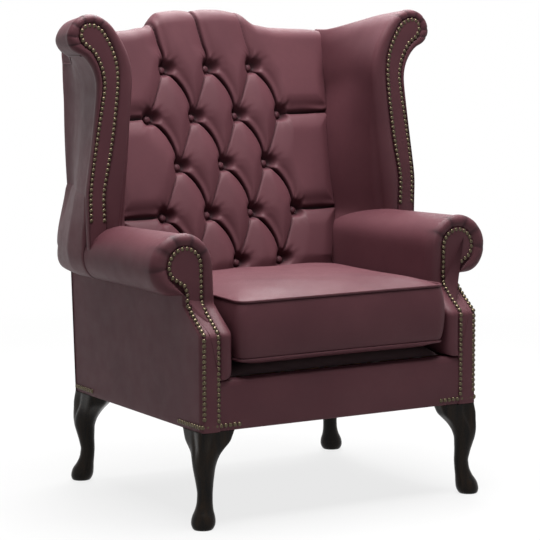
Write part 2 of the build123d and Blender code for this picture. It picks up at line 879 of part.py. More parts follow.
def edge_roller(start, end, inward):
    """What rolls one edge of a cell down to its fold: all that lies above an arc along the edge."""
    length = math.dist(start, end)
    along = ((end[0] - start[0]) / length, (end[1] - start[1]) / length)
    place = Plane(
        origin=(start[0] - along[0] * 2 * overrun, start[1] - along[1] * 2 * overrun, 0),
        x_dir=(inward[0], inward[1], 0),
        z_dir=(along[0], along[1], 0),
    )
    up_sign = 1 if place.y_dir.Z > 0 else -1
    roll = []
    for step in range(fold_steps + 1):
        distance = fold_reach * step / fold_steps
        roll.append((distance, -up_sign * roll_depth(distance)))
    clear = [(fold_reach, up_sign * overrun), (-overrun, up_sign * overrun)]
    clear.append((-overrun, -up_sign * fold_depth))
    section = Polygon(*(roll + clear), align=None)
    return extrude(place * section, length + 4 * overrun, dir=(along[0], along[1], 0))


def sewn_cell(corners, low, high):
    """One cell of the buttoned back, with every edge but its cut ends rolled down to the fold."""
    centre = (sum(x for x, _ in corners) / len(corners), sum(s for _, s in corners) / len(corners))
    depth = overall_depth / 2
    cell = extrude(Plane.XY.offset(-depth) * Polygon(*corners, align=None), depth, dir=(0, 0, 1))
    for start, end in zip(corners, corners[1:] + corners[:1]):
        if start[1] == end[1] and start[1] in (low, high):
            continue
        normal = (end[1] - start[1], start[0] - end[0])
        size = math.hypot(*normal)
        toward = (centre[0] - start[0]) * normal[0] + (centre[1] - start[1]) * normal[1]
        sign = 1 if toward > 0 else -1
        inward = (sign * normal[0] / size, sign * normal[1] / size)
        cell = cell - edge_roller(start, end, inward)
    return cell


def pad_envelope():
    """The side view of the back pad below the crest: upright at the foot, then open to the front."""
    points = [
        (pad_front_y, deck_top_z),
        (pad_front_y, lowest_button_z),
        (pad_front_y - overrun, lowest_button_z),
        (pad_front_y - overrun, crest_foot_z),
        (pad_rear_y(crest_foot_z), crest_foot_z),
        (pad_rear_y(deck_top_z), deck_top_z),
    ]
    return side_plate(points, -half_span, half_span)


def crest_drop(x):
    """How far the crest lies below the top of its hump at a place across."""
    reach = abs(x)
    if reach <= hump_half_width:
        return 0.0
    if reach <= hump_shoulder_x:
        return hump_drop * (reach - hump_half_width) / (hump_shoulder_x - hump_half_width)
    along = (reach - hump_shoulder_x) / (back_half_width(overall_height) - hump_shoulder_x)
    return hump_drop + (shoulder_end_drop - hump_drop) * along


def crest_stations():
    """Places across the crest, each with the depth of the folds there and of the pleat over the top."""
    pitch = button_pitch_across
    step = pleat_reach_share * pitch
    end = back_half_width(crest_foot_z)
    across = [0.0, step, pitch / 2, pitch - step, pitch, pitch + step, hump_shoulder_x,
              hump_shoulder_x + crest_flare, end - fold_reach, end - step, end]
    stations = []
    for x in across:
        nearest = min(abs(x - fold) for fold in (0.0, pitch, end))
        sunk = roll_depth(nearest)
        over_top = sunk / fold_depth * pleat_depth * (pleat_middle_share if x < pitch / 2 else 1.0)
        stations.append((x, sunk, over_top))
    return [(-x, sunk, over_top) for x, sunk, over_top in reversed(stations[1:])] + stations


def crest_section(x, fold_sunk, sunk):
    """The crest's section at a place across: up the front, over the roll and down to the rail behind."""
    drop = crest_drop(x)
    radius = crest_radius - (crest_radius - shoulder_radius) * drop / shoulder_end_drop
    centre_z = overall_height - drop - radius
    front_z = centre_z + radius * math.sin(back_slope)
    centre_y = crest_plane_y(front_z) + radius * math.cos(back_slope)
    shown = radius - sunk
    foot_y = crest_plane_y(crest_foot_z) + fold_sunk / math.cos(back_slope)

    lip_rise = max(0.0, crest_foot_z + crest_lip_height - centre_z)
    rear_angle = math.pi - math.asin(lip_rise / shown)
    steps = 2 * curve_steps - 2
    roll = []
    for step in range(steps + 1):
        angle = back_slope + (rear_angle - back_slope) * step / steps
        roll.append((centre_y - shown * math.cos(angle), centre_z + shown * math.sin(angle)))
    panel_y = outside_back_y(crest_foot_z)
    under = (panel_y + (roll[-1][0] - panel_y) * crest_lip_share, crest_foot_z)
    points = [(pad_rear_y(crest_foot_z), crest_foot_z), (foot_y, crest_foot_z)] + roll + [under]
    return [(x, y, z) for y, z in points]


def crest_rail():
    """The camel-shaped top rail, stepped over the outside back."""
    reach = outside_back_y(crest_rail_low_z, rear_panel_thickness)
    rear = outside_back_y(crest_rail_step_z) + crest_rail_rear_reach / 2
    sheet = hessian_thickness + webbing_thickness
    section = [
        (pad_rear_y(crest_rail_low_z, sheet), crest_rail_low_z),
        (reach, crest_rail_low_z),
        (outside_back_y(crest_foot_z, rear_panel_thickness), crest_foot_z),
        (rear, crest_foot_z),
        (rear, crest_rail_hump_z),
        (pad_rear_y(crest_rail_hump_z, sheet), crest_rail_hump_z),
    ]
    body = side_plate(section, -half_span, half_span)
    shape = [
        (post_inner_x(crest_rail_low_z), crest_rail_low_z),
        (post_inner_x(back_post_head_z), back_post_head_z),
        (hump_shoulder_x - crest_flare / 2, crest_rail_step_z),
        (hump_half_width - crest_flare / 2, crest_rail_hump_z),
    ]
    outline = Polygon(*(shape + [(-x, z) for x, z in reversed(shape)]), align=None)
    return body & front_plate(outline, 0, overall_depth)


def button_pit():
    """The pit round a button, seen in the crest plane: it narrows down to a flat floor."""
    levels = [
        (-pit_depth, pit_floor_radius), (-pit_mouth_depth, pit_mouth_radius), (overrun, pit_mouth_radius),
    ]
    return loft([Plane.XY.offset(z) * RegularPolygon(radius, pit_sides) for z, radius in levels], ruled=True)


def tie_line():
    """A twine tie straight back from the pit's floor."""
    depth = overall_depth / 4
    return extrude(Plane.XY.offset(-pit_depth - depth) * RegularPolygon(tie_radius, tie_sides), depth)


def back_button():
    """A covered button: a low dome on the pit's floor."""
    base = Plane.XY.offset(-pit_depth) * RegularPolygon(button_radius, button_sides)
    return extrude(base, button_height, dir=(0, 0, 1), taper=button_taper_deg)


def inside_back():
    """The buttoned back with its cells, pits and pleated crest, and the buttons and ties."""
    plane = crest_plane()
    cells, low, high = sewn_cells()
    pad = None
    for corners in cells:
        cell = sewn_cell(corners, low, high)
        pad = cell if pad is None else pad + cell
    pad = (plane * pad) & pad_envelope()
    crest = faceted_loft([crest_section(*station) for station in crest_stations()])
    width = front_plate(back_outline(leg_height, 2 * overall_height), -overall_depth, overall_depth)
    pad = (pad + crest) & width
    pit, tie, button = button_pit(), tie_line(), back_button()
    envelope = pad_envelope()
    buttons, ties = [], []
    for x, up in button_places():
        place = plane * Pos(x, up, 0)
        cord = (plane * (Pos(x, up, 0) * tie)) & envelope
        pad = pad - plane * (Pos(x, up, 0) * pit) - cord
        buttons.append(plane * (Pos(x, up, 0) * button))
        ties.append(cord)
    return pad, Compound(children=buttons), Compound(children=ties)


def back_cloths():
    """Hessian behind the pad, and the webbing straps that carry it."""
    low, high = tack_rail_low_z, crest_rail_step_z
    sheet = sloped_band(0, hessian_thickness, low, high, -half_span, half_span)
    hessian = sheet & front_plate(back_outline(low, high), 0, overall_depth)
    spacing = 2 * (back_half_width(0) - webbing_width / 2) / (webbing_count - 1)
    straps = []
    for index in range(webbing_count):
        x = (index - (webbing_count - 1) / 2) * spacing
        straps.append(sloped_band(
            hessian_thickness, hessian_thickness + webbing_thickness, low, high,
            x - webbing_width / 2, x + webbing_width / 2,
        ))
    return hessian, Compound(children=straps)


def lower_back_rail():
    """The rail across the foot of the back, which the webbing is strained from."""
    sheet = hessian_thickness + webbing_thickness
    high = tack_rail_low_z + tack_rail_height
    return sloped_band(sheet, sheet + tack_rail_thickness, tack_rail_low_z, high, -inner_x, inner_x)


def outside_back():
    """The flat outside back panel, from under the seat to under the crest."""
    head = back_half_width(crest_foot_z) + back_post_head_width
    shape = [
        (half_base, leg_height),
        (half_base, arm_roll_centre_z),
        (head, crest_foot_z),
    ]
    outline = Polygon(*(shape + [(-x, z) for x, z in reversed(shape)]), align=None)
    sheet = raked_band(0, rear_panel_thickness, leg_height, crest_foot_z, -half_span, half_span)
    return sheet & front_plate(outline, 0, overall_depth)


# Seat

def front_border():
    """The padded front border, turned over the top of the front rail."""
    lip_y = front_y + border_lip_depth
    points = [
        (front_y, leg_height),
        (rail_front_y, leg_height),
        (rail_front_y, rail_top_z),
        (lip_y, rail_top_z),
        (lip_y, limb_bottom_z),
        (front_y, limb_bottom_z),
    ]
    border = side_plate(points, -arm_facing_inner_x, arm_facing_inner_x)
    edge = border.edges().filter_by(Axis.X).group_by(Axis.Z)[-1].sort_by(Axis.Y)[0]
    return fillet(edge, border_edge_radius)


def spring_places():
    """The springs' places across the seat."""
    spacing = 2 * (inner_x - spring_side_margin) / (spring_count - 1)
    return [(index - (spring_count - 1) / 2) * spacing for index in range(spring_count)]


def spring_ends():
    """Where the springs' end bars lie on the front and back rails."""
    front = front_y + border_lip_depth + clip_length
    back = outside_back_y(rail_top_z, rear_panel_thickness + back_rail_thickness - clip_length)
    return front, back


def seat_springs():
    """Zig-zag springs from the front rail to the back rail."""
    front, back = spring_ends()
    step = (back - front - spring_wire) / (spring_bars - 1)
    springs = []
    for x in spring_places():
        path = Sketch()
        for bar in range(spring_bars):
            y = front + bar * step
            path += Pos(x, y + spring_wire / 2) * Rectangle(spring_width, spring_wire)
            if bar < spring_bars - 1:
                side = 1 if bar % 2 else -1
                link_x = x + side * (spring_width - spring_wire) / 2
                path += Pos(link_x, y + (step + spring_wire) / 2) * Rectangle(spring_wire, step + spring_wire)
        springs.append(extrude(Plane.XY.offset(spring_base_z) * path, spring_wire))
    return Compound(children=springs)


def spring_clips():
    """Steel clips that hold each spring's end bars on the rails."""
    front, back = spring_ends()
    clips = []
    top = spring_base_z + spring_wire + clip_wall
    for x in spring_places():
        for bar_y, outward in ((front, -1), (back, 1)):
            wall = bar_y + outward * clip_wall
            inner = bar_y - outward * (clip_length - clip_wall)
            points = [
                (wall, rail_top_z), (wall, top), (inner, top), (inner, top - clip_wall),
                (bar_y, top - clip_wall), (bar_y, spring_base_z), (inner, spring_base_z), (inner, rail_top_z),
            ]
            clips.append(side_plate(points, x - clip_width / 2, x + clip_width / 2))
    return Compound(children=clips)


def seat_deck():
    """Hessian over the springs, and the deck pad that the cushion lies on."""
    front, back = spring_ends()
    cloth = block(-inner_x, inner_x, front + clip_length, back - clip_length, hessian_low_z, deck_low_z)
    deck_front = front_y + border_lip_depth
    points = [
        (deck_front, deck_low_z + clip_wall),
        (deck_front, deck_top_z),
        (pad_rear_y(deck_top_z), deck_top_z),
        (pad_rear_y(deck_low_z), deck_low_z),
        (front + clip_length, deck_low_z),
        (front + clip_length, deck_low_z + clip_wall),
    ]
    deck = side_plate(points, -half_base, half_base)
    width = Polygon(
        (-arm_limb_front_x + deck_clearance, front_y),
        (arm_limb_front_x - deck_clearance, front_y),
        (arm_limb_rear_x - deck_clearance, wing_middle_y),
        (arm_limb_rear_x - deck_clearance, rear_y),
        (-arm_limb_rear_x + deck_clearance, rear_y),
        (-arm_limb_rear_x + deck_clearance, wing_middle_y),
        align=None,
    )
    return cloth, deck & extrude(width, overall_height, dir=(0, 0, 1))


def dust_cover():
    """The thin cloth under the seat, notched round the legs."""
    rear = outside_back_y(leg_height)
    low = leg_height - dust_cover_thickness
    sheet = block(
        -half_base + dust_cover_inset, half_base - dust_cover_inset,
        front_y + dust_cover_inset, rear - dust_cover_inset, low, leg_height,
    )
    notch = leg_top_width + leg_clear_margin
    for side in (-1, 1):
        x_low, x_high = sorted((side * half_base, side * (half_base - notch)))
        sheet = sheet - block(x_low, x_high, front_y, front_y + notch, low, leg_height)
        sheet = sheet - block(x_low, x_high, rear - notch, rear, low, leg_height)
    return sheet


# Cushion

def cushion_section(z, inset):
    """A level section of the cushion, drawn in all round by the inset."""
    front = -overall_depth / 2 + cushion_seam_inset + inset
    back = pad_front_y - cushion_back_clearance - inset
    front_x = cushion_front_half_width - inset
    rear_x = cushion_rear_half_width - inset
    corner = cushion_corner_radius
    side_lean = (front_x - rear_x) / (back - front)

    def side_at(y):
        return front_x - (y - front) * side_lean

    near, far = front + corner, back - corner
    turn_front = quarter_turn((front_x - corner, front), (side_at(near), near), (front_x - corner, near))
    turn_back = quarter_turn((side_at(far), far), (rear_x - corner, back), (rear_x - corner, far))
    right = turn_front + [(side_at(front + corner), front + corner)]
    run = back - front - 2 * corner
    for step in range(1, curve_steps):
        along = step / curve_steps
        y = front + corner + run * along
        right.append((side_at(y) + 4 * cushion_side_bow * along * (1 - along), y))
    right += turn_back + [(rear_x - corner, back)]
    bow = []
    for step in range(1, curve_steps):
        along = step / curve_steps
        bowed = 4 * cushion_front_bow * along * (1 - along)
        bow.append(((2 * along - 1) * (front_x - corner), front - bowed))
    left = [(-x, y) for x, y in reversed(right)]
    return [(x, y, z) for x, y in right + left + bow]


def cushion_rings():
    """The two piped seams round the cushion."""
    rings = []
    for z in (cushion_low_seam_z, cushion_high_seam_z):
        half = piping_height / 2
        outer = faceted_loft([
            cushion_section(z + up * half, piping_edge * abs(up) - piping_proud) for up in (-1.0, 0.0, 1.0)
        ])
        inner = faceted_loft([cushion_section(z + up * half, piping_tuck) for up in (-1.0, 1.0)])
        rings.append(outer - inner)
    return Compound(children=rings)


def cushion():
    """The crowned cushion cover with its drawn-in sides, its foam core and its piping."""
    under = cushion_low_seam_z - deck_top_z
    height = cushion_high_seam_z - cushion_low_seam_z
    rise = cushion_top_z - cushion_high_seam_z
    levels = [(deck_top_z + up * under, inward * cushion_underside_inset) for up, inward in underside_shares]
    for up, out in boxing_shares[:-1]:
        levels.append((cushion_low_seam_z + up * height, -out * cushion_boxing_bulge))
    levels += [(cushion_high_seam_z + up * rise, inward * crown_inset) for up, inward in crown_shares]
    body = faceted_loft([cushion_section(z, inset) for z, inset in levels])
    core_low, core_high = cushion_low_seam_z + piping_height, cushion_high_seam_z - piping_height
    core = faceted_loft([cushion_section(z, core_inset) for z in (core_low, core_high)])
    rings = cushion_rings()
    return body - core - rings, core, rings


def zip_places():
    """The zip's mid height and the depths of its recess, tape, coil and slider."""
    middle_z = (cushion_low_seam_z + cushion_high_seam_z) / 2
    mouth = pad_front_y - cushion_back_clearance + cushion_boxing_bulge
    floor = mouth - zip_recess_depth
    tape = floor + zip_tape_thickness
    coil = tape + zip_coil_thickness
    return middle_z, mouth, floor, tape, coil


def zip_parts():
    """The recess in the cushion's back, the zip tape in it, and the slider on the coil."""
    middle_z, mouth, floor, tape, coil = zip_places()
    half = zip_width / 2
    low, high = middle_z - half, middle_z + half
    recess = block(-zip_half_length, zip_half_length, floor, mouth + overrun, low, high)
    band = block(-zip_half_length, zip_half_length, floor, tape, low, high)
    row = block(-zip_half_length, zip_half_length, tape, coil, middle_z - zip_coil_width / 2,
                middle_z + zip_coil_width / 2)
    start = -zip_half_length + slider_travel_margin
    near = coil + fit_clearance
    slider = block(start, start + slider_length, near, near + slider_thickness, middle_z - slider_width / 2,
                   middle_z + slider_width / 2)
    return recess, band + row, slider


# Studs

def stud():
    """A domed stud head, flat on its seat."""
    base = RegularPolygon(stud_radius, stud_sides)
    return loft([base, Vertex(0, 0, stud_height)])


def stud_on(head, x, y, z, normal):
    """A stud at a place, with its dome along the normal."""
    plane = Plane(origin=(x, y, z), x_dir=(1, 0, 0), z_dir=normal)
    return plane * head


def along_path(places, depth_at):
    """Even places along an outline of (x, z) points, measured over the face that depth_at gives."""
    solid_points = [(x, depth_at(z), z) for x, z in places]
    spots, carried = [], 0.0
    for start, end in zip(solid_points, solid_points[1:]):
        length = math.dist(start, end)
        position = -carried
        while position + stud_pitch <= length:
            position += stud_pitch
            spots.append(tuple(a + (b - a) * position / length for a, b in zip(start, end)))
        carried = length - position
    return spots


def arm_stud_line():
    """The line of the arm's studs: up the inside of the facing, round the scroll and down the outside."""
    radius = arm_scroll_radius - stud_row_inset
    inner = arm_facing_inner_x + stud_row_inset
    outer = arm_facing_outer_x - stud_row_inset
    start = stud_row_z + stud_pitch
    line = [(inner, start), (inner, arm_slope_low_z), (arm_scroll_centre_x - radius, arm_scroll_centre_z)]
    for step in range(1, 28):
        angle = math.radians(180.0 - step * 8.0)
        line.append((
            arm_scroll_centre_x + radius * math.cos(angle),
            arm_scroll_centre_z + radius * math.sin(angle),
        ))
    throat_top = arm_scroll_centre_z - arm_scroll_radius
    line += [(outer + stud_row_inset, throat_top), (outer, throat_top - arm_scroll_throat_radius / 2),
             (outer, arm_slope_low_z), (outer, start)]
    return line


def arm_studs(head):
    """The studs on one arm facing, seated on its upright and sloping faces."""
    rise = arm_slope_high_z - arm_slope_low_z
    slope_normal = (0, -rise, arm_setback)
    studs = []
    for x, y, z in along_path(arm_stud_line(), jog_y):
        if arm_slope_low_z < z < arm_slope_high_z:
            z = min(z, arm_slope_high_z - stud_radius)
            studs.append(stud_on(head, x, jog_y(z), z, slope_normal))
        else:
            if z >= arm_slope_high_z:
                z = max(z, arm_slope_high_z + stud_radius)
            studs.append(stud_on(head, x, jog_y(z), z, (0, -1, 0)))
    return Compound(children=studs)


def wing_studs(head):
    """The studs round one wing facing, from the arm up over the scroll and back down."""
    outline = offset(Polygon(*wing_outline(wing_facing_shares), align=None), -stud_row_inset)
    wire = outline.faces()[0].outer_wire()
    start_z = arm_roll_front_top_z
    count = int(wire.length / stud_pitch)
    studs = []
    for index in range(count):
        point = wire.position_at(index / count)
        if point.Y > start_z:
            studs.append(stud_on(head, point.X, wing_front_y, point.Y, (0, -1, 0)))
    return Compound(children=studs)


def corner_studs(head):
    """The short rows over the legs, along the front and round each side."""
    studs = []
    for side in (-1, 1):
        for index in range(corner_row_studs):
            x = side * (half_base - stud_radius - index * stud_pitch)
            studs.append(stud_on(head, x, front_y, stud_row_z, (0, -1, 0)))
            y = front_y + stud_radius + index * stud_pitch
            plane = Plane(origin=(side * half_base, y, stud_row_z), x_dir=(0, 1, 0), z_dir=(side, 0, 0))
            studs.append(plane * head)
        for index in range(rear_corner_row_studs):
            y = outside_back_y(stud_row_z, rear_panel_thickness) - stud_radius - index * stud_pitch
            plane = Plane(origin=(side * half_base, y, stud_row_z), x_dir=(0, 1, 0), z_dir=(side, 0, 0))
            studs.append(plane * head)
    return Compound(children=studs)


# Assembly

def build():
    """Every piece of the chair under its own name."""
    parts = {}
    parts["front_rail"], parts["back_rail"], side_rail = seat_rails()
    post, arm_stump, facing = back_post(), arm_post(), arm_facing()
    arm_rail, arm_board, tack_rail = arm_boards()
    board, top_rail, rail = wing_board(), wing_rail(), crest_rail()
    arm, rear, zone = arm_form(), behind_back(), back_zone()
    arm_frame = [arm_stump, facing, arm_rail, arm_board, board, post, tack_rail]
    arm_pad = (arm & behind_arm_front()) - rear - zone
    for piece in arm_frame:
        arm_pad = arm_pad - piece
    wing, cover_zone = wing_form(), wing_cover_zone()
    strip = wing_facing() - arm
    wing_body = wing - arm - rear - zone
    for piece in (strip, board, post, top_rail, rail):
        wing_body = wing_body - piece
    sides = {
        "seat_rail": side_rail,
        "back_post": post,
        "arm_post": arm_stump,
        "arm_rail": arm_rail,
        "arm_board": arm_board,
        "tack_rail": tack_rail,
        "wing_board": board,
        "wing_rail": top_rail,
        "arm_facing": facing,
        "arm_pad": arm_pad,
        "outside_arm": outside_arm() - facing - arm_stump,
        "wing_facing": strip,
        "inside_wing": wing_body - cover_zone,
        "outside_wing": wing_body & cover_zone,
    }
    head = stud()
    sides["arm_studs"] = arm_studs(head)
    sides["wing_studs"] = wing_studs(head)
    for name, shape in sides.items():
        parts["right_" + name] = shape
        parts["left_" + name] = mirrored(shape)
    parts["corner_studs"] = corner_studs(head)
    parts["corner_blocks"] = corner_blocks()
    parts["leg_bolts"] = leg_bolts()
    for side_name, side in (("left", -1), ("right", 1)):
        parts["front_" + side_name + "_leg"] = leg(side, True)
        parts["rear_" + side_name + "_leg"] = leg(side, False)
    pad, parts["back_buttons"], parts["button_ties"] = inside_back()
    parts["crest_rail"] = rail
    parts["lower_back_rail"] = lower_back_rail()
    parts["back_hessian"], parts["back_webbing"] = back_cloths()
    parts["inside_back"] = pad - rail - parts["back_hessian"] - parts["back_webbing"]
    parts["outside_back"] = outside_back()
    parts["front_border"] = front_border()
    parts["seat_springs"] = seat_springs()
    parts["spring_clips"] = spring_clips()
    parts["seat_hessian"], parts["seat_deck"] = seat_deck()
    parts["dust_cover"] = dust_cover()
    cover, parts["cushion_core"], parts["cushion_piping"] = cushion()
    recess, parts["zip_tape"], parts["zip_slider"] = zip_parts()
    parts["cushion_cover"] = cover - recess
    return parts


os.makedirs("parts", exist_ok=True)
for node, shape in build().items():
    export_step(shape, "parts/" + node + ".step")
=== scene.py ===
"""A deep-buttoned leather wing chair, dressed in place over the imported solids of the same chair.

Metres, +Z up, the front faces -Y and the right side is +X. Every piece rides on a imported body.
"""

import logging
import math
from dataclasses import dataclass
from enum import Enum
from typing import Callable, Optional, Sequence

import bpy
import numpy as np
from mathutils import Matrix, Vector

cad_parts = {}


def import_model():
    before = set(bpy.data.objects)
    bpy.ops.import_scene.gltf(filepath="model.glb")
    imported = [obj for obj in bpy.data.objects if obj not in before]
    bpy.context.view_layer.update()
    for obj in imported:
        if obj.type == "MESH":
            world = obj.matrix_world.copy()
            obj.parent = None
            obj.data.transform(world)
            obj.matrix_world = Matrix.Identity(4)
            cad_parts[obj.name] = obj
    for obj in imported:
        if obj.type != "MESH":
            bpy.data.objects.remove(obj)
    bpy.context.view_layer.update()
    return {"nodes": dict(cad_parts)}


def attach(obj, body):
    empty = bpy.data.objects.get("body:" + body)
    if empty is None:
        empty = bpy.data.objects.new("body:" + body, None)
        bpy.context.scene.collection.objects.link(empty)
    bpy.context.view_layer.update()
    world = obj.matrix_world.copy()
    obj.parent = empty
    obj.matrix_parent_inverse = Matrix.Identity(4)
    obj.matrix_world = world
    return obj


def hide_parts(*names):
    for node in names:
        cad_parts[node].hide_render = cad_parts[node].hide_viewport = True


LOG = logging.getLogger("wing_chair")
SIDES = (("left", -1.0), ("right", 1.0))
STEEP = 0.9
FAR = 9.0

Outline = Sequence[tuple[float, float, float]]


# Finishes

@dataclass(frozen=True)
class LeatherFinish:
    """A smooth pigmented leather, with fine grain and a light hand-rubbed sheen."""

    name: str = "oxblood_leather"
    deep: tuple[float, float, float] = (0.064, 0.0215, 0.0275)
    lively: tuple[float, float, float] = (0.084, 0.0300, 0.0370)
    # The dark colour that is painted into grooves, pits, pleats and seams as shade.
    painted_shade: tuple[float, float, float] = (0.0060, 0.0012, 0.0030)
    roughness: float = 0.51
    gloss: float = 0.15
    tint: tuple[float, float, float] = (1.0, 0.90, 0.90)
    mottle_scale: float = 7.0
    fleck_scale: float = 85.0
    fleck_share: float = 0.35
    sheen_scale: float = 36.0
    sheen_spread: tuple[float, float] = (-0.05, 0.07)
    grain_scale: float = 620.0
    grain_height: float = 0.00013
    grain_strength: float = 0.55
    drape_scale: float = 16.0
    drape_height: float = 0.0012
    drape_strength: float = 0.22
    wrinkle_scale: float = 150.0
    wrinkle_height: float = 0.00025
    wrinkle_strength: float = 0.30


@dataclass(frozen=True)
class TimberFinish:
    """Polished or plain timber with grain along one axis."""

    name: str
    dark: tuple[float, float, float]
    light: tuple[float, float, float]
    roughness: float
    coat: float
    gloss: float = 0.22
    grain: tuple[float, float, float] = (90.0, 90.0, 7.0)
    pore_scale: float = 9.0
    pore_height: float = 0.0002
    coat_roughness: float = 0.09


@dataclass(frozen=True)
class MetalFinish:
    """A metal with uneven tarnish."""

    name: str
    bright: tuple[float, float, float]
    dull: tuple[float, float, float]
    roughness: float
    patch_scale: float = 900.0
    dent_scale: float = 1400.0
    dent_height: float = 0.00015


@dataclass(frozen=True)
class ClothFinish:
    """A woven or felted cloth."""

    name: str
    light: tuple[float, float, float]
    dark: tuple[float, float, float]
    threads: float
    height: float = 0.0002


LEATHER = LeatherFinish()
WELT_LEATHER = LeatherFinish(
    name="welt_leather", deep=(0.058, 0.0190, 0.0250), lively=(0.076, 0.0270, 0.0335), roughness=0.46
)
MAHOGANY = TimberFinish(
    "dark_mahogany", (0.0024, 0.0013, 0.0008), (0.0130, 0.0070, 0.0032), 0.24, 0.10, gloss=0.07
)
BEECH = TimberFinish("plain_beech", (0.36, 0.20, 0.10), (0.52, 0.33, 0.18), 0.62, 0.0)
BRASS = MetalFinish("antique_brass", (0.135, 0.108, 0.068), (0.022, 0.017, 0.012), 0.28)
STEEL = MetalFinish("spring_steel", (0.46, 0.45, 0.43), (0.20, 0.19, 0.18), 0.38)
ZIP_METAL = MetalFinish("zip_metal", (0.55, 0.40, 0.20), (0.22, 0.15, 0.07), 0.30)
HESSIAN = ClothFinish("hessian", (0.38, 0.26, 0.13), (0.17, 0.11, 0.05), 900.0, 0.0004)
DUST_CLOTH = ClothFinish("dust_cloth", (0.020, 0.020, 0.021), (0.008, 0.008, 0.009), 1500.0)
DECK_CLOTH = ClothFinish("deck_cloth", (0.060, 0.030, 0.033), (0.030, 0.013, 0.016), 1300.0)
ZIP_TAPE = ClothFinish("zip_tape", (0.050, 0.016, 0.021), (0.022, 0.006, 0.009), 1800.0)
FOAM = ClothFinish("foam", (0.62, 0.58, 0.44), (0.50, 0.46, 0.34), 420.0, 0.0003)


class Nodes:
    """A small helper that adds and links shader nodes in one material."""

    def __init__(self, name: str) -> None:
        """Makes a new material with its shader.

        Args:
            name: The material's name.
        """
        self.material = bpy.data.materials.new(name)
        self.material.use_nodes = True
        self.tree = self.material.node_tree
        self.shader = self.tree.nodes["Principled BSDF"]
        self.place = self.add("ShaderNodeTexCoord").outputs["Object"]

    def add(self, kind: str, **inputs: object) -> bpy.types.Node:
        """Adds one node.

        Args:
            kind: The node's type name.
            inputs: Socket values or sockets to link, by socket name with spaces as underscores.

        Returns:
            The new node.
        """
        node = self.tree.nodes.new(kind)
        for key, value in inputs.items():
            self.feed(node, key.replace("_", " "), value)
        return node

    def feed(self, node: bpy.types.Node, socket: str, value: object) -> None:
        """Sets or links one input socket of a node.

        Args:
            node: The node.
            socket: The input socket's name.
            value: A number, a colour, or an output socket to link.
        """
        if isinstance(value, bpy.types.NodeSocket):
            self.tree.links.new(value, node.inputs[socket])
        elif isinstance(value, tuple) and len(value) == 3 and node.inputs[socket].type == "RGBA":
            node.inputs[socket].default_value = (*value, 1.0)
        else:
            node.inputs[socket].default_value = value

    def stretched(self, scale: tuple[float, float, float]) -> bpy.types.NodeSocket:
        """Gives the object's coordinates times a scale on each axis."""
        return self.add("ShaderNodeMapping", Vector=self.place, Scale=scale).outputs["Vector"]

    def noise(self, scale: float, detail: float = 3.0, where: object = None) -> bpy.types.NodeSocket:
        """Adds a noise pattern.

        Args:
            scale: How fine it is.
            detail: How many finer layers it has.
            where: The coordinates to use instead of the object's own.

        Returns:
            The pattern's value.
        """
        node = self.add("ShaderNodeTexNoise", Vector=where or self.place, Scale=scale, Detail=detail)
        return node.outputs["Fac"]

    def ramp(self, value: object, low: float, high: float, start: float, stop: float) -> bpy.types.NodeSocket:
        """Carries a value from one range to another and keeps it inside.

        Args:
            value: The value's socket.
            low: The first range's start.
            high: The first range's end.
            start: The new range's start.
            stop: The new range's end.

        Returns:
            The new value.
        """
        node = self.add("ShaderNodeMapRange", Value=value)
        for key, number in (("From Min", low), ("From Max", high), ("To Min", start), ("To Max", stop)):
            node.inputs[key].default_value = number
        return node.outputs["Result"]

    def mix(self, factor: object, first: object, second: object) -> bpy.types.NodeSocket:
        """Mixes two colours.

        Args:
            factor: How much of the second one there is, from 0 to 1.
            first: A colour or its socket.
            second: A colour or its socket.

        Returns:
            The mixed colour.
        """
        node = self.tree.nodes.new("ShaderNodeMix")
        node.data_type = "RGBA"
        for socket, value in ((node.inputs[0], factor), (node.inputs[6], first), (node.inputs[7], second)):
            if isinstance(value, bpy.types.NodeSocket):
                self.tree.links.new(value, socket)
            else:
                socket.default_value = (*value, 1.0) if isinstance(value, tuple) else value
        return node.outputs[2]

    def bump(self, height: object, distance: float, strength: float,
             below: object = None) -> bpy.types.NodeSocket:
        """Adds a bump from a height pattern.

        Args:
            height: The pattern's socket.
            distance: How high a value of 1 stands, in metres.
            strength: How much of it is used.
            below: Another bump that it is laid over.

        Returns:
            The bumped normal.
        """
        node = self.add("ShaderNodeBump", Height=height, Distance=distance, Strength=strength)
        if below is not None:
            self.tree.links.new(below, node.inputs["Normal"])
        return node.outputs["Normal"]


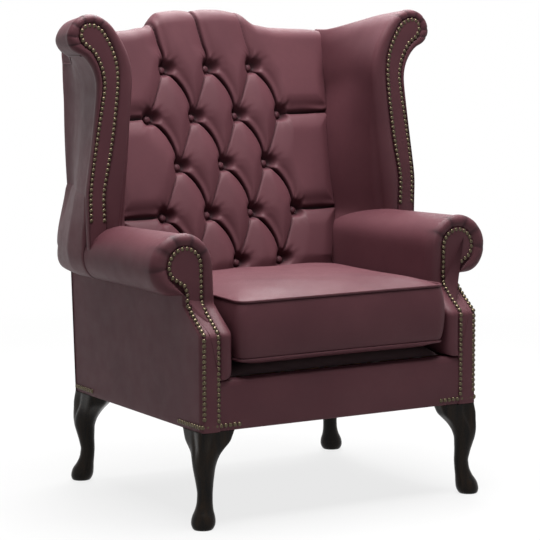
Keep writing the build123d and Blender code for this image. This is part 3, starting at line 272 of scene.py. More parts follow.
def leather_material(finish: LeatherFinish) -> bpy.types.Material:
    """Builds a leather: mottled pigment, painted shade in creases, pits and seams, pebbled grain and uneven
    gloss.

    Args:
        finish: The leather's colours, gloss and grain.

    Returns:
        The material.
    """
    n = Nodes(finish.name)
    mottle = n.ramp(n.noise(finish.mottle_scale, 5.0), 0.3, 0.7, 0.0, 1.0)
    flecks = n.ramp(n.noise(finish.fleck_scale, 4.0), 0.25, 0.75, 0.0, 1.0)
    colour = n.mix(mottle, finish.deep, finish.lively)
    colour = n.mix(n.ramp(flecks, 0.0, 1.0, 0.0, finish.fleck_share), colour, finish.deep)
    # Painted shade: a per-point attribute mixes the leather toward the dark colour in grooves, pits, pleats
    # and seams, where shade falls.
    painted_shade_node = n.add("ShaderNodeAttribute")
    painted_shade_node.attribute_name = "painted_shade"
    colour = n.mix(painted_shade_node.outputs["Fac"], colour, finish.painted_shade)
    n.feed(n.shader, "Base Color", colour)
    smoothest, dullest = (finish.roughness + part for part in finish.sheen_spread)
    n.feed(n.shader, "Roughness", n.ramp(n.noise(finish.sheen_scale, 4.0), 0.2, 0.8, smoothest, dullest))
    n.feed(n.shader, "Specular IOR Level", finish.gloss)
    n.feed(n.shader, "Specular Tint", finish.tint)
    cells = n.add("ShaderNodeTexVoronoi", Vector=n.place, Scale=finish.grain_scale)
    cells.feature = "DISTANCE_TO_EDGE"
    pebbles = n.ramp(cells.outputs["Distance"], 0.0, 0.35, 0.0, 1.0)
    drape = n.bump(n.noise(finish.drape_scale, 2.0), finish.drape_height, finish.drape_strength)
    fine = n.noise(finish.wrinkle_scale, 5.0)
    wrinkles = n.bump(fine, finish.wrinkle_height, finish.wrinkle_strength, drape)
    n.feed(n.shader, "Normal", n.bump(pebbles, finish.grain_height, finish.grain_strength, wrinkles))
    return n.material


def timber_material(finish: TimberFinish) -> bpy.types.Material:
    """Builds a timber with long grain and fine pores.

    Args:
        finish: The timber's colours, gloss and grain.

    Returns:
        The material.
    """
    n = Nodes(finish.name)
    along = n.stretched(finish.grain)
    figure = n.ramp(n.noise(1.0, 6.0, along), 0.35, 0.68, 0.0, 1.0)
    pores = n.noise(finish.pore_scale, 4.0, along)
    colour = n.mix(figure, finish.dark, finish.light)
    colour = n.mix(n.ramp(pores, 0.52, 0.7, 0.0, 0.5), colour, finish.dark)
    n.feed(n.shader, "Base Color", colour)
    n.feed(n.shader, "Roughness", n.ramp(pores, 0.3, 0.7, finish.roughness - 0.04, finish.roughness + 0.10))
    n.feed(n.shader, "Specular IOR Level", finish.gloss)
    n.feed(n.shader, "Coat Weight", finish.coat)
    n.feed(n.shader, "Coat Roughness", finish.coat_roughness)
    n.feed(n.shader, "Normal", n.bump(pores, finish.pore_height, 0.25))
    return n.material


def metal_material(finish: MetalFinish) -> bpy.types.Material:
    """Builds a metal with patches of tarnish and small dents.

    Args:
        finish: The metal's colours and gloss.

    Returns:
        The material.
    """
    n = Nodes(finish.name)
    patches = n.ramp(n.noise(finish.patch_scale, 3.0), 0.36, 0.64, 0.0, 1.0)
    n.feed(n.shader, "Base Color", n.mix(patches, finish.dull, finish.bright))
    n.feed(n.shader, "Metallic", 1.0)
    n.feed(n.shader, "Roughness", n.ramp(patches, 0.0, 1.0, finish.roughness + 0.15, finish.roughness - 0.06))
    n.feed(n.shader, "Normal", n.bump(n.noise(finish.dent_scale, 2.0), finish.dent_height, 0.4))
    return n.material


def cloth_material(finish: ClothFinish) -> bpy.types.Material:
    """Builds a plain weave from two crossed sets of threads.

    Args:
        finish: The cloth's colours and thread count.

    Returns:
        The material.
    """
    n = Nodes(finish.name)
    weave = None
    for axis in ("X", "Y", "Z"):
        wave = n.add("ShaderNodeTexWave", Vector=n.place, Scale=finish.threads / 6.0, Distortion=1.2)
        wave.bands_direction = axis
        value = wave.outputs["Fac"]
        weave = value if weave is None else n.mix(0.5, weave, value)
    fuzz = n.noise(finish.threads * 2.0, 3.0)
    colour = n.mix(weave, finish.dark, finish.light)
    n.feed(n.shader, "Base Color", n.mix(n.ramp(fuzz, 0.3, 0.7, 0.0, 0.4), colour, finish.dark))
    n.feed(n.shader, "Roughness", n.ramp(fuzz, 0.2, 0.8, 0.80, 0.95))
    n.feed(n.shader, "Normal", n.bump(weave, finish.height, 0.7))
    return n.material


class Palette:
    """Every material of the scene, each made once."""

    def __init__(self) -> None:
        """Starts with no material made."""
        self.made: dict[str, bpy.types.Material] = {}

    def get(self, finish: object) -> bpy.types.Material:
        """Gives the material for a finish.

        Args:
            finish: One of the finishes above.

        Returns:
            The material, made on its first use.
        """
        makers: dict[type, Callable] = {
            LeatherFinish: leather_material, TimberFinish: timber_material,
            MetalFinish: metal_material, ClothFinish: cloth_material,
        }
        if finish.name not in self.made:
            self.made[finish.name] = makers[type(finish)](finish)
        return self.made[finish.name]


# Mesh work

def smooth_step(value: np.ndarray, low: float, high: float) -> np.ndarray:
    """Rises softly from 0 at low to 1 at high.

    Args:
        value: The places.
        low: Where the rise starts.
        high: Where it ends.

    Returns:
        The rise at each place.
    """
    t = np.clip((value - low) / (high - low), 0.0, 1.0)
    return t * t * (3.0 - 2.0 * t)


def bell(value: np.ndarray, centre: float, width: float) -> np.ndarray:
    """Swells to 1 at a centre and dies away on both sides.

    Args:
        value: The places.
        centre: Where it is 1.
        width: How far from there it falls to about a third.

    Returns:
        The swell at each place.
    """
    return np.exp(-(((value - centre) / width) ** 2))


def roll(distance: np.ndarray, reach: float, sharp: float) -> np.ndarray:
    """Gives how much of its depth a rolled edge still has: 1 at the edge and 0 at its reach.

    Args:
        distance: How far each place lies from the edge.
        reach: Where the roll has died away.
        sharp: How much it is a quarter round, from 0 to 1. The rest is a soft wave.

    Returns:
        The share at each place.
    """
    q = np.clip(np.abs(distance) / reach, 0.0, 1.0)
    quarter = 1.0 - np.sqrt(np.clip(1.0 - (1.0 - q) ** 2, 0.0, 1.0))
    soft = 0.5 + 0.5 * np.cos(np.pi * q)
    return sharp * quarter + (1.0 - sharp) * soft


def bulged(places: Outline, steps: int) -> np.ndarray:
    """Walks an outline of (x, z, bulge) places in even steps along each edge.

    Args:
        places: The outline's places, each with the bulge of the edge that follows.
        steps: Points on each edge.

    Returns:
        The points, as an array of (x, z).
    """
    spots = np.array(places)
    after = np.roll(spots, -1, axis=0)
    t = (np.arange(steps) / steps)[None, :, None]
    run = (after - spots)[:, None, :2]
    side = np.stack([-run[..., 1], run[..., 0]], axis=-1)
    rise = 4.0 * spots[:, None, 2:3] * t * (1.0 - t)
    return (spots[:, None, :2] + run * t + side * rise).reshape(-1, 2)


def softened(points: np.ndarray, passes: int) -> np.ndarray:
    """Eases the corners of a closed outline.

    Args:
        points: The outline's points.
        passes: How often it is eased.

    Returns:
        The eased points.
    """
    out = points
    for _ in range(passes):
        out = 0.5 * out + 0.25 * (np.roll(out, 1, axis=0) + np.roll(out, -1, axis=0))
    return out


def eased(rows: np.ndarray, first: int, passes: int) -> np.ndarray:
    """Eases the inner corners of an open run of points or rings.

    Args:
        rows: The run.
        first: The first row that may move. The last one never moves.
        passes: How often it is eased.

    Returns:
        The eased run.
    """
    out = rows.copy()
    for _ in range(passes):
        out[first:-1] = 0.5 * out[first:-1] + 0.25 * (out[first - 1:-2] + out[first + 1:])
    return out


def quad_faces(rows: int, columns: int, closed: bool) -> list[tuple[int, int, int, int]]:
    """Gives the quads of a grid of points.

    Args:
        rows: How many rows the grid has.
        columns: How many points a row has.
        closed: Whether each row is joined round.

    Returns:
        The faces as point indices.
    """
    faces = []
    for low in range(0, (rows - 1) * columns, columns):
        high = low + columns
        for here in range(columns if closed else columns - 1):
            after = (here + 1) % columns
            faces.append((low + here, low + after, high + after, high + here))
    return faces


def make_object(name: str, points: np.ndarray, faces: Sequence, material: bpy.types.Material,
                painted_shade: Optional[np.ndarray] = None, mirror: bool = False) -> bpy.types.Object:
    """Makes a smooth-shaded mesh object at the origin.

    Args:
        name: The object's name.
        points: Its points in metres.
        faces: Its faces as point indices.
        material: Its material.
        painted_shade: How much painted shade each point gets, from 0 to 1.
        mirror: Whether it is turned over to the left side.

    Returns:
        The object, linked to the scene.
    """
    verts = points.reshape(-1, 3).copy()
    if mirror:
        verts[:, 0] *= -1.0
        faces = [tuple(reversed(face)) for face in faces]
    mesh = bpy.data.meshes.new(name)
    mesh.from_pydata(verts.tolist(), [], faces)
    mesh.validate()
    mesh.shade_smooth()
    mesh.materials.append(material)
    # Stores the painted shade as a point attribute, which the leather reads.
    if painted_shade is not None:
        layer = mesh.attributes.new("painted_shade", "FLOAT", "POINT")
        layer.data.foreach_set("value", np.clip(painted_shade, 0.0, 1.0).astype(np.float32).ravel())
    obj = bpy.data.objects.new(name, mesh)
    bpy.context.scene.collection.objects.link(obj)
    return obj


def lofted(name: str, rings: np.ndarray, material: bpy.types.Material, painted_shade: Optional[np.ndarray] = None,
           caps: bool = True, mirror: bool = False) -> bpy.types.Object:
    """Makes a skin through closed rings of points that have the same count.

    Args:
        name: The object's name.
        rings: The rings' points.
        material: Its material.
        painted_shade: How much painted shade each point gets.
        caps: Whether both ends are closed.
        mirror: Whether it is turned over to the left side.

    Returns:
        The object.
    """
    rows, columns, _ = rings.shape
    faces: list = quad_faces(rows, columns, True)
    if caps:
        faces.append(tuple(reversed(range(columns))))
        faces.append(tuple(range((rows - 1) * columns, rows * columns)))
    return make_object(name, rings, faces, material, painted_shade, mirror)


def sheet(name: str, x: np.ndarray, y: np.ndarray, z: np.ndarray, material: bpy.types.Material,
          painted_shade: Optional[np.ndarray] = None, mirror: bool = False,
          turned: bool = False) -> bpy.types.Object:
    """Makes an open skin from grids of coordinates, which may be single rows or columns.

    Args:
        name: The object's name.
        x: Places across.
        y: Places back.
        z: Heights.
        material: Its material.
        painted_shade: How much painted shade each point gets.
        mirror: Whether it is turned over to the left side.
        turned: Whether its faces look the other way.

    Returns:
        The object.
    """
    points = np.stack(np.broadcast_arrays(x, y, z), axis=-1)
    faces = quad_faces(points.shape[0], points.shape[1], False)
    if turned:
        faces = [tuple(reversed(face)) for face in faces]
    return make_object(name, points, faces, material, painted_shade, mirror)


def tube(name: str, path: np.ndarray, radius: float, material: bpy.types.Material, closed: bool = True,
         sides: int = 10, mirror: bool = False) -> bpy.types.Object:
    """Makes a round welt along a path of points.

    Args:
        name: The object's name.
        path: The points along its middle.
        radius: Its radius.
        material: Its material.
        closed: Whether its ends meet.
        sides: Points round it.
        mirror: Whether it is turned over to the left side.

    Returns:
        The object.
    """
    ahead = np.roll(path, -1, axis=0) - np.roll(path, 1, axis=0)
    if not closed:
        ahead[0], ahead[-1] = path[1] - path[0], path[-1] - path[-2]
    ahead /= np.linalg.norm(ahead, axis=1)[:, None]
    up = np.zeros_like(ahead)
    up[:, 2] = 1.0
    steep = np.abs(ahead[:, 2]) > STEEP
    up[steep] = (0.0, -1.0, 0.0)
    across = np.cross(ahead, up)
    across /= np.linalg.norm(across, axis=1)[:, None]
    over = np.cross(across, ahead)
    turn = 2 * np.pi * np.arange(sides) / sides
    rings = path[:, None] + radius * (
        np.cos(turn)[None, :, None] * across[:, None] + np.sin(turn)[None, :, None] * over[:, None]
    )
    if closed:
        rings = np.concatenate([rings, rings[:1]])
    return lofted(name, rings, material, caps=not closed, mirror=mirror)


def upright(flat: np.ndarray, y: object) -> np.ndarray:
    """Stands points of (x, z) up in space at a place back, or each at its own."""
    return np.column_stack([flat[:, 0], np.broadcast_to(y, len(flat)), flat[:, 1]])


def spread(path: np.ndarray, count: int) -> np.ndarray:
    """Walks an open path in even steps.

    Args:
        path: The path's points.
        count: How many places are wanted.

    Returns:
        The places.
    """
    step = np.linalg.norm(np.diff(path, axis=0), axis=1)
    run = np.concatenate([[0.0], np.cumsum(step)])
    want = np.linspace(0.0, run[-1], count)
    return np.stack([np.interp(want, run, path[:, k]) for k in range(path.shape[1])], axis=1)


def spaced(path: np.ndarray, pitch: float) -> np.ndarray:
    """Walks an open path in even steps of about a pitch, as spread does."""
    total = np.linalg.norm(np.diff(path, axis=0), axis=1).sum()
    return spread(path, int(total / pitch) + 1)


@dataclass(frozen=True)
class Pleats:
    """Small radial pleats in leather that goes round a scroll."""

    spots: tuple[float, ...]
    spot_width: float
    row_width: float
    row: float = 4.0
    depth: float = 0.0022
    # How much shade is painted into each pleat's fold.
    darkness: float = 0.75

    def draw(self, rings: np.ndarray, steps: int) -> tuple[np.ndarray, np.ndarray]:
        """Draws the pleats into a skin.

        Args:
            rings: The skin's rings.
            steps: Points on each edge of a ring. A spot of 1 is one edge along.

        Returns:
            The rings, and the painted shade at each point, darkest along the pleats.
        """
        place = np.arange(rings.shape[1]) / steps
        painted_shade = np.zeros(rings.shape[:2])
        fade = bell(np.arange(rings.shape[0]), self.row, self.row_width)
        for spot in self.spots:
            amount = fade[:, None] * bell(place, spot, self.spot_width)[None, :]
            rings[..., 1] += self.depth * amount
            # Paints shade along each pleat's fold.
            painted_shade = np.maximum(painted_shade, self.darkness * amount)
        return rings, painted_shade


# The chair's shared planes

@dataclass(frozen=True)
class Carcass:
    """Sizes that several pieces share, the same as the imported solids'."""

    height: float = 1.069
    half_base: float = 0.350
    half_span: float = 0.468
    front_y: float = -0.3335
    rear_y: float = 0.262
    leg_height: float = 0.206
    back_lean: float = 0.06
    arm_setback: float = 0.071
    slope_low_z: float = 0.411
    slope_high_z: float = 0.465
    roll_z: float = 0.548
    border_top_z: float = 0.314

    def rear(self, z: np.ndarray, inward: float = 0.0) -> np.ndarray:
        """The outside back's outer face at a height, or a place inward of it."""
        return self.rear_y + (z - self.leg_height) * self.back_lean - inward

    def arm_front(self, z: np.ndarray) -> np.ndarray:
        """The arm's front face at a height: upright, sloping back, then upright again."""
        along = np.clip((z - self.slope_low_z) / (self.slope_high_z - self.slope_low_z), 0.0, 1.0)
        return self.front_y + self.arm_setback * along


CARCASS = Carcass()


class Piece:
    """What every sub-assembly shares: the palette and the body that it rides on."""

    body = "chair"

    def __init__(self, palette: Palette) -> None:
        """Keeps the scene's materials."""
        self.palette = palette

    def settle(self, obj: bpy.types.Object, slot: str, *nodes: str, fill: Optional[float] = None) -> None:
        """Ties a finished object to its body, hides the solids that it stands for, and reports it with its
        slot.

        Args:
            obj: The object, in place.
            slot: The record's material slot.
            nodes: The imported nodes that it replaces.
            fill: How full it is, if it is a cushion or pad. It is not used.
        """
        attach(obj, self.body)
        if nodes:
            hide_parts(*nodes)
        LOG.info("%s made, body %s, slot %s", obj.name, self.body, slot)


# Buttoned back

class Fold(Enum):
    """How the leather meets along a seam of the buttoned back."""

    LAPPED = "lapped"
    CREASED = "creased"


@dataclass(frozen=True)
class BackSizes:
    """Sizes of the buttoned back and its camel-back crest."""

    foot_y: float = 0.0995
    foot_z: float = 0.500
    slope: float = math.radians(18.05)
    pitch_across: float = 0.115
    pitch_up: float = 0.1154
    row_counts: tuple[int, ...] = (3, 4, 3, 4, 3)
    lap_bow: float = 0.0155
    crest_lean: float = 0.016
    lap_depth: float = 0.0170
    lip_share: float = 0.52
    crease_depth: float = 0.0105
    button_depth: float = 0.0215
    reach: float = 0.046
    groove_depth: float = 0.0080
    groove_width: float = 0.0021
    pit_depth: float = 0.030
    pit_floor: float = 0.0080
    pit_mouth: float = 0.034
    button_radius: float = 0.0092
    button_height: float = 0.0080
    side_depth: float = 0.015
    side_full: float = 0.8
    side_reach: float = 0.036
    low_up: float = -0.165
    side_tuck: float = 0.022
    crest_radius: float = 0.0385
    shoulder_radius: float = 0.033
    roll_turn: float = math.radians(205.0)
    tail: float = 0.030
    under_z: float = 0.9855
    samples: int = 36
    cluster: float = 0.62
    cells: tuple[int, int] = (-5, 8)
    fill: float = 0.75
    crest_reach: float = 0.36
    crest_steps: int = 361
    crest_ease: int = 8
    crest_slack: float = 0.030
    crest_run: float = 2.35
    widest_up: float = 0.6
    button_rings: int = 7
    button_sides: int = 20
    button_seat: float = 0.001
    button_round: float = 0.75
    button_tip: float = 0.0004
    seam_edge: float = 0.42
    blend_power: float = 4.0
    button_fade: float = 0.024
    calm_share: float = 0.45
    calm_run: float = 0.10
    low_sharp: float = 0.8
    lip_sharp: float = 0.1
    lip_run: float = 0.007
    crease_sharp: float = 0.6
    side_sharp: float = 0.7
    valley_share: float = 0.10
    valley_place: float = 0.015
    valley_width: float = 0.006
    crease_groove: float = 0.32
    crease_groove_width: float = 0.7
    groove_calm: float = 0.6
    # groove_dark, pit_dark and pit_dark_run set how much shade is painted into the grooves and round each
    # button's pit.
    groove_dark: float = 1.25
    pit_sharp: float = 1.25
    pit_dark: float = 0.60
    pit_dark_run: tuple[float, float] = (0.0085, 0.019)
    tuck_height: float = 0.0011
    tuck_count: float = 13.0
    tuck_shift: float = 1.7
    tuck_facing: float = math.radians(48.0)
    tuck_least: float = 0.35
    tuck_start: tuple[float, float] = (0.010, 0.017)
    tuck_stop: tuple[float, float] = (0.026, 0.046)
    shoulder_drop: float = 0.053
    foot_ease: tuple[float, float] = (-0.03, 0.005)
    over_calm: float = 0.35
    over_turn: tuple[float, float] = (0.5, 2.4)
    under_turn: float = 1.2
    tail_gap: float = 0.001
    tail_in: float = 0.3
    tail_down: float = 1.8
    side_fade: tuple[float, float] = (0.42, 0.50)
    bow_foot: tuple[float, float] = (-0.03, 0.0)
    bow_top: tuple[float, float] = (0.47, 0.52)
    bow_side: tuple[float, float] = (0.172, 0.205)
    lean_rise: tuple[float, float] = (0.475, 0.620)
    lean_side: tuple[float, float] = (0.20, 0.30)
    half_widths: tuple[tuple[float, float], ...] = (
        (0.0, 0.252), (0.492, 0.252), (0.601, 0.2828), (0.820, 0.308), (0.905, 0.3150), (0.955, 0.3225),
        (1.069, 0.3262),
    )
    crest_drops: tuple[tuple[float, float], ...] = (
        (0.0, 0.0), (0.058, 0.002), (0.106, 0.006), (0.117, 0.013), (0.131, 0.027), (0.144, 0.037),
        (0.160, 0.040), (0.184, 0.045), (0.215, 0.047), (0.307, 0.052), (0.345, 0.055),
    )


class ButtonedBack(Piece):
    """The deep-buttoned inside back: sewn cells, lapped folds, pits, buttons and the pleated crest."""

    def __init__(self, palette: Palette, sizes: BackSizes = BackSizes()) -> None:
        """Keeps the sizes and eases the crest's line.

        Args:
            palette: The scene's materials.
            sizes: The back's sizes.
        """
        super().__init__(palette)
        self.s = sizes
        reach = np.linspace(0.0, sizes.crest_reach, sizes.crest_steps)
        drops = np.interp(reach, *zip(*sizes.crest_drops))
        half = sizes.crest_ease
        kernel = np.exp(-np.linspace(-2.0, 2.0, 2 * half + 1) ** 2)
        padded = np.concatenate([drops[half:0:-1], drops, np.full(half, drops[-1])])
        self.drop_table = (reach, np.convolve(padded, kernel / kernel.sum(), "valid"))

    def half_width(self, z: np.ndarray) -> np.ndarray:
        """Gives half the back's width at a height."""
        return np.interp(z, *zip(*self.s.half_widths))

    def drop(self, across: np.ndarray) -> np.ndarray:
        """Gives how far the crest lies below its middle at a place across."""
        return np.interp(np.abs(across), *self.drop_table)

    def buttons(self) -> list[tuple[int, float, float]]:
        """Lists every button.

        Returns:
            Each button's row and its place across and up the slope.
        """
        return [
            (row, (column - (count - 1) / 2) * self.s.pitch_across, row * self.s.pitch_up)
            for row, count in enumerate(self.s.row_counts) for column in range(count)
        ]

    def seams(self) -> list[tuple[Fold, tuple[float, float], tuple[float, float]]]:
        """Lists every fold.

        Returns:
            Each fold's kind and its two ends, the upper or outer end last.
        """
        places = self.buttons()
        known = {(row, round(x, 4)) for row, x, _ in places}
        folds = []
        for row, x, up in places:
            for side, kind in ((1, Fold.CREASED), (-1, Fold.LAPPED)):
                over = x + side * self.s.pitch_across / 2
                if (row + 1, round(over, 4)) in known:
                    folds.append((kind, (x, up), (over, up + self.s.pitch_up)))
        top, edge = len(self.s.row_counts) - 1, self.s.seam_edge
        for row, x, up in places:
            if row == top:
                kind = Fold.LAPPED if x < self.s.pitch_across / 2 else Fold.CREASED
                folds.append((kind, (x, up), (x, 2.0)))
            if row == 0:
                folds.append((Fold.CREASED, (x, up), (x, -1.0)))
            if row % 2 and abs(x) > self.s.pitch_across:
                folds.append((Fold.LAPPED, (x, up), (math.copysign(edge, x), up)))
        return folds

    def fold_depths(self, across: np.ndarray, up: np.ndarray) -> tuple[np.ndarray, np.ndarray]:
        """How far folds and grooves draw the leather in at flat places.

        Args:
            across: Places across the back.
            up: Places up the slope.

        Returns:
            The depth, and the painted shade in the grooves and round the pits, from 0 to 1.
        """
        s = self.s
        total, groove = np.zeros_like(across), np.zeros_like(across)
        for kind, (x0, s0), (x1, s1) in self.seams():
            length = math.hypot(x1 - x0, s1 - s0)
            ax, az = (x1 - x0) / length, (s1 - s0) / length
            along = (across - x0) * ax + (up - s0) * az
            side = (across - x0) * az - (up - s0) * ax
            if az == 0.0:
                side = up - s0
            past = np.maximum(np.maximum(-along, along - length), 0.0)
            distance = np.hypot(side, past)
            near = np.clip(np.minimum(along, length - along), 0.0, None)
            open_end = length > 2 * s.pitch_up or az == 0.0
            if open_end:
                near = np.clip(along, 0.0, None)
            to_button = bell(near, 0.0, s.button_fade)
            calm = 1.0
            if open_end and az > 0:
                calm = s.calm_share + (1.0 - s.calm_share) * bell(np.clip(along, 0, None), 0.0, s.calm_run)
            if kind is Fold.LAPPED:
                middle = s.lap_depth * calm
                low = roll(distance, s.reach, s.low_sharp)
                rise = roll(distance, s.lip_run, 1.0) * (1.0 - s.lip_share)
                valley = s.valley_share * bell(distance, s.valley_place, s.valley_width)
                high = rise + s.lip_share * roll(distance, s.reach, s.lip_sharp) + valley
                shape = np.where(side < 0.0, low, high)
                cut, wide = s.groove_depth, s.groove_width
            else:
                middle = s.crease_depth * calm
                shape = roll(distance, s.reach, s.crease_sharp)
                cut, wide = s.crease_groove * s.groove_depth, s.crease_groove_width * s.groove_width
            depth = middle + (s.button_depth - middle) * to_button
            total += np.clip(depth * shape, 0.0, None) ** s.blend_power
            groove = np.maximum(groove, cut * bell(distance, 0.0, wide) * (1.0 - s.groove_calm * to_button))
        depth = total ** (1.0 / s.blend_power)
        pit_dark = np.zeros_like(across)
        for index, (_, x, height) in enumerate(self.buttons()):
            ring = np.hypot(across - x, up - height)
            angle = np.arctan2(up - height, across - x)
            well = s.pit_depth * (1.0 - smooth_step(ring, s.pit_floor, s.pit_mouth)) ** s.pit_sharp
            window = smooth_step(ring, *s.tuck_start) * (1.0 - smooth_step(ring, *s.tuck_stop))
            facing = s.tuck_least + (1.0 - s.tuck_least) * np.clip(np.cos(angle - s.tuck_facing), 0.0, 1.0)
            depth += s.tuck_height * window * facing * np.cos(s.tuck_count * angle + s.tuck_shift * index)
            depth = np.maximum(depth, well)
            # Painted shade round each button's pit.
            pit_dark = np.maximum(pit_dark, 1.0 - smooth_step(ring, *s.pit_dark_run))
        # Painted shade along the grooves, joined with the pits' painted shade.
        dark = np.clip(groove / s.groove_depth * s.groove_dark, 0.0, 1.0)
        return depth + groove, np.maximum(dark, s.pit_dark * pit_dark)

    def skin_points(self, across: np.ndarray, up: np.ndarray, depth: np.ndarray) -> np.ndarray:
        """Carries flat places onto the sloping back and over the crest.

        Args:
            across: Places across the back.
            up: Places up the slope, measured over the surface.
            depth: How far each place is drawn in.

        Returns:
            The points in space.
        """
        s = self.s
        cos, sin = math.cos(s.slope), math.sin(s.slope)
        drop = self.drop(across)
        radius = s.crest_radius - (s.crest_radius - s.shoulder_radius) * drop / s.shoulder_drop
        centre_z = CARCASS.height - drop - radius
        contact_z = centre_z + radius * sin
        contact = (contact_z - s.foot_z) / cos
        centre_y = s.foot_y + contact * sin + radius * cos
        turn = np.clip((up - contact) / radius, 0.0, s.roll_turn)
        angle = s.slope + turn
        on_roll = up > contact
        lean = s.slope * smooth_step(up, *s.foot_ease)
        low = up < 0.0
        flat_y = s.foot_y + np.where(low, 0.0, up * sin)
        flat_z = s.foot_z + np.where(low, up, up * cos)
        normal_y = np.where(on_roll, -np.cos(angle), -np.cos(lean))
        normal_z = np.where(on_roll, np.sin(angle), np.sin(lean))
        base_y = np.where(on_roll, centre_y - radius * np.cos(angle), flat_y)
        base_z = np.where(on_roll, centre_z + radius * np.sin(angle), flat_z)
        sunk = depth * np.where(on_roll, 1.0 - s.over_calm * smooth_step(turn, *s.over_turn), 1.0)
        y, z = base_y - normal_y * sunk, base_z - normal_z * sunk
        rest = np.clip((up - contact - radius * s.roll_turn) / s.tail, 0.0, 1.0)
        panel = CARCASS.rear(s.under_z, s.tail_gap)
        y = y + (panel - y) * rest**s.tail_in
        z = np.where(on_roll & (turn > s.under_turn), np.maximum(z, s.under_z), z)
        z = z + (s.under_z - z) * rest**s.tail_down
        return np.stack([across, y, z], axis=-1)

    def build(self) -> None:
        """Makes the pad's skin and its covered buttons."""
        s = self.s
        half = s.pitch_across / 2
        unit = np.arange(s.samples) / s.samples
        unit = unit - s.cluster * np.sin(2 * np.pi * unit) / (2 * np.pi)
        ticks = np.concatenate([cell + unit for cell in range(*s.cells)])
        u, v = np.meshgrid(ticks, ticks, indexing="ij")
        across, up = half * (u - v), s.pitch_up * (u + v)
        rise = (CARCASS.height - s.foot_z) / math.cos(s.slope)
        top = rise + s.crest_slack + s.crest_radius * s.crest_run + s.tail
        height = s.foot_z + np.clip(up, s.low_up, s.widest_up) * math.cos(s.slope)
        limit = self.half_width(height) + s.side_tuck
        inside = (np.abs(across) < limit) & (up > s.low_up) & (up < top)
        across_in, up_in = np.clip(across, -limit, limit), np.clip(up, s.low_up, top)
        keep = inside[:-1, :-1] | inside[1:, :-1] | inside[:-1, 1:] | inside[1:, 1:]
        rows, columns = np.nonzero(keep)
        width = len(ticks)
        corner = rows * width + columns
        quads = np.stack([corner, corner + width, corner + width + 1, corner + 1], axis=1)
        used, packed = np.unique(quads, return_inverse=True)
        quads = packed.reshape(quads.shape)
        a, h = across_in.ravel()[used], up_in.ravel()[used]
        depth, dark = self.fold_depths(a, h)
        side = limit.ravel()[used] - s.side_tuck - np.abs(a)
        side_depth = s.side_depth * (1.0 - s.side_full * smooth_step(h, *s.side_fade))
        depth = np.maximum(depth, side_depth * roll(np.clip(side, 0.0, None), s.side_reach, s.side_sharp))
        zone = smooth_step(h, *s.bow_foot) * (1.0 - smooth_step(h, *s.bow_top))
        zone = zone * (1.0 - smooth_step(np.abs(a), *s.bow_side))
        length = math.hypot(half, s.pitch_up)
        shift = zone * s.lap_bow * np.abs(np.sin(np.pi * v.ravel()[used]))
        lean = s.crest_lean * smooth_step(h, *s.lean_rise) * (1.0 - smooth_step(np.abs(a), *s.lean_side))
        moved_a = a + shift * s.pitch_up / length - lean
        moved_h = h + shift * half / length
        points = self.skin_points(moved_a, moved_h, depth)
        # dark carries the shade painted into the grooves and round the pits.
        skin = make_object("buttoned_back", points, quads.tolist(), self.palette.get(LEATHER), dark)
        self.settle(skin, "leather", "inside_back", fill=s.fill)
        self.build_buttons()

    def build_buttons(self) -> None:
        """Makes the covered buttons, low in their pits."""
        s = self.s
        rings, sides = s.button_rings, s.button_sides
        turn = 2 * np.pi * np.arange(sides) / sides
        lean = np.linspace(0.0, np.pi / 2, rings)
        out = np.array([0.0, -math.cos(s.slope), math.sin(s.slope)])
        along = np.array([0.0, math.sin(s.slope), math.cos(s.slope)])
        points, faces = [], []
        for _, x, up in self.buttons():
            seat = np.array([s.pit_depth - s.button_seat])
            centre = self.skin_points(np.array([x]), np.array([up]), seat)[0]
            start = len(points) * rings * sides
            ring_points = []
            for angle in lean:
                wide = s.button_tip
                if angle < np.pi / 2:
                    wide = s.button_radius * math.cos(angle) ** s.button_round
                high = s.button_height * math.sin(angle)
                spot = np.outer(np.cos(turn) * wide, (1.0, 0.0, 0.0)) + np.outer(np.sin(turn) * wide, along)
                ring_points.append(centre + spot + high * out)
            points.append(np.array(ring_points))
            faces += [tuple(start + k for k in face) for face in quad_faces(rings, sides, True)]
            faces.append(tuple(start + (rings - 1) * sides + k for k in range(sides)))
        obj = make_object("covered_buttons", np.array(points), faces, self.palette.get(WELT_LEATHER))
        self.settle(obj, "leather", "back_buttons")


# Wings

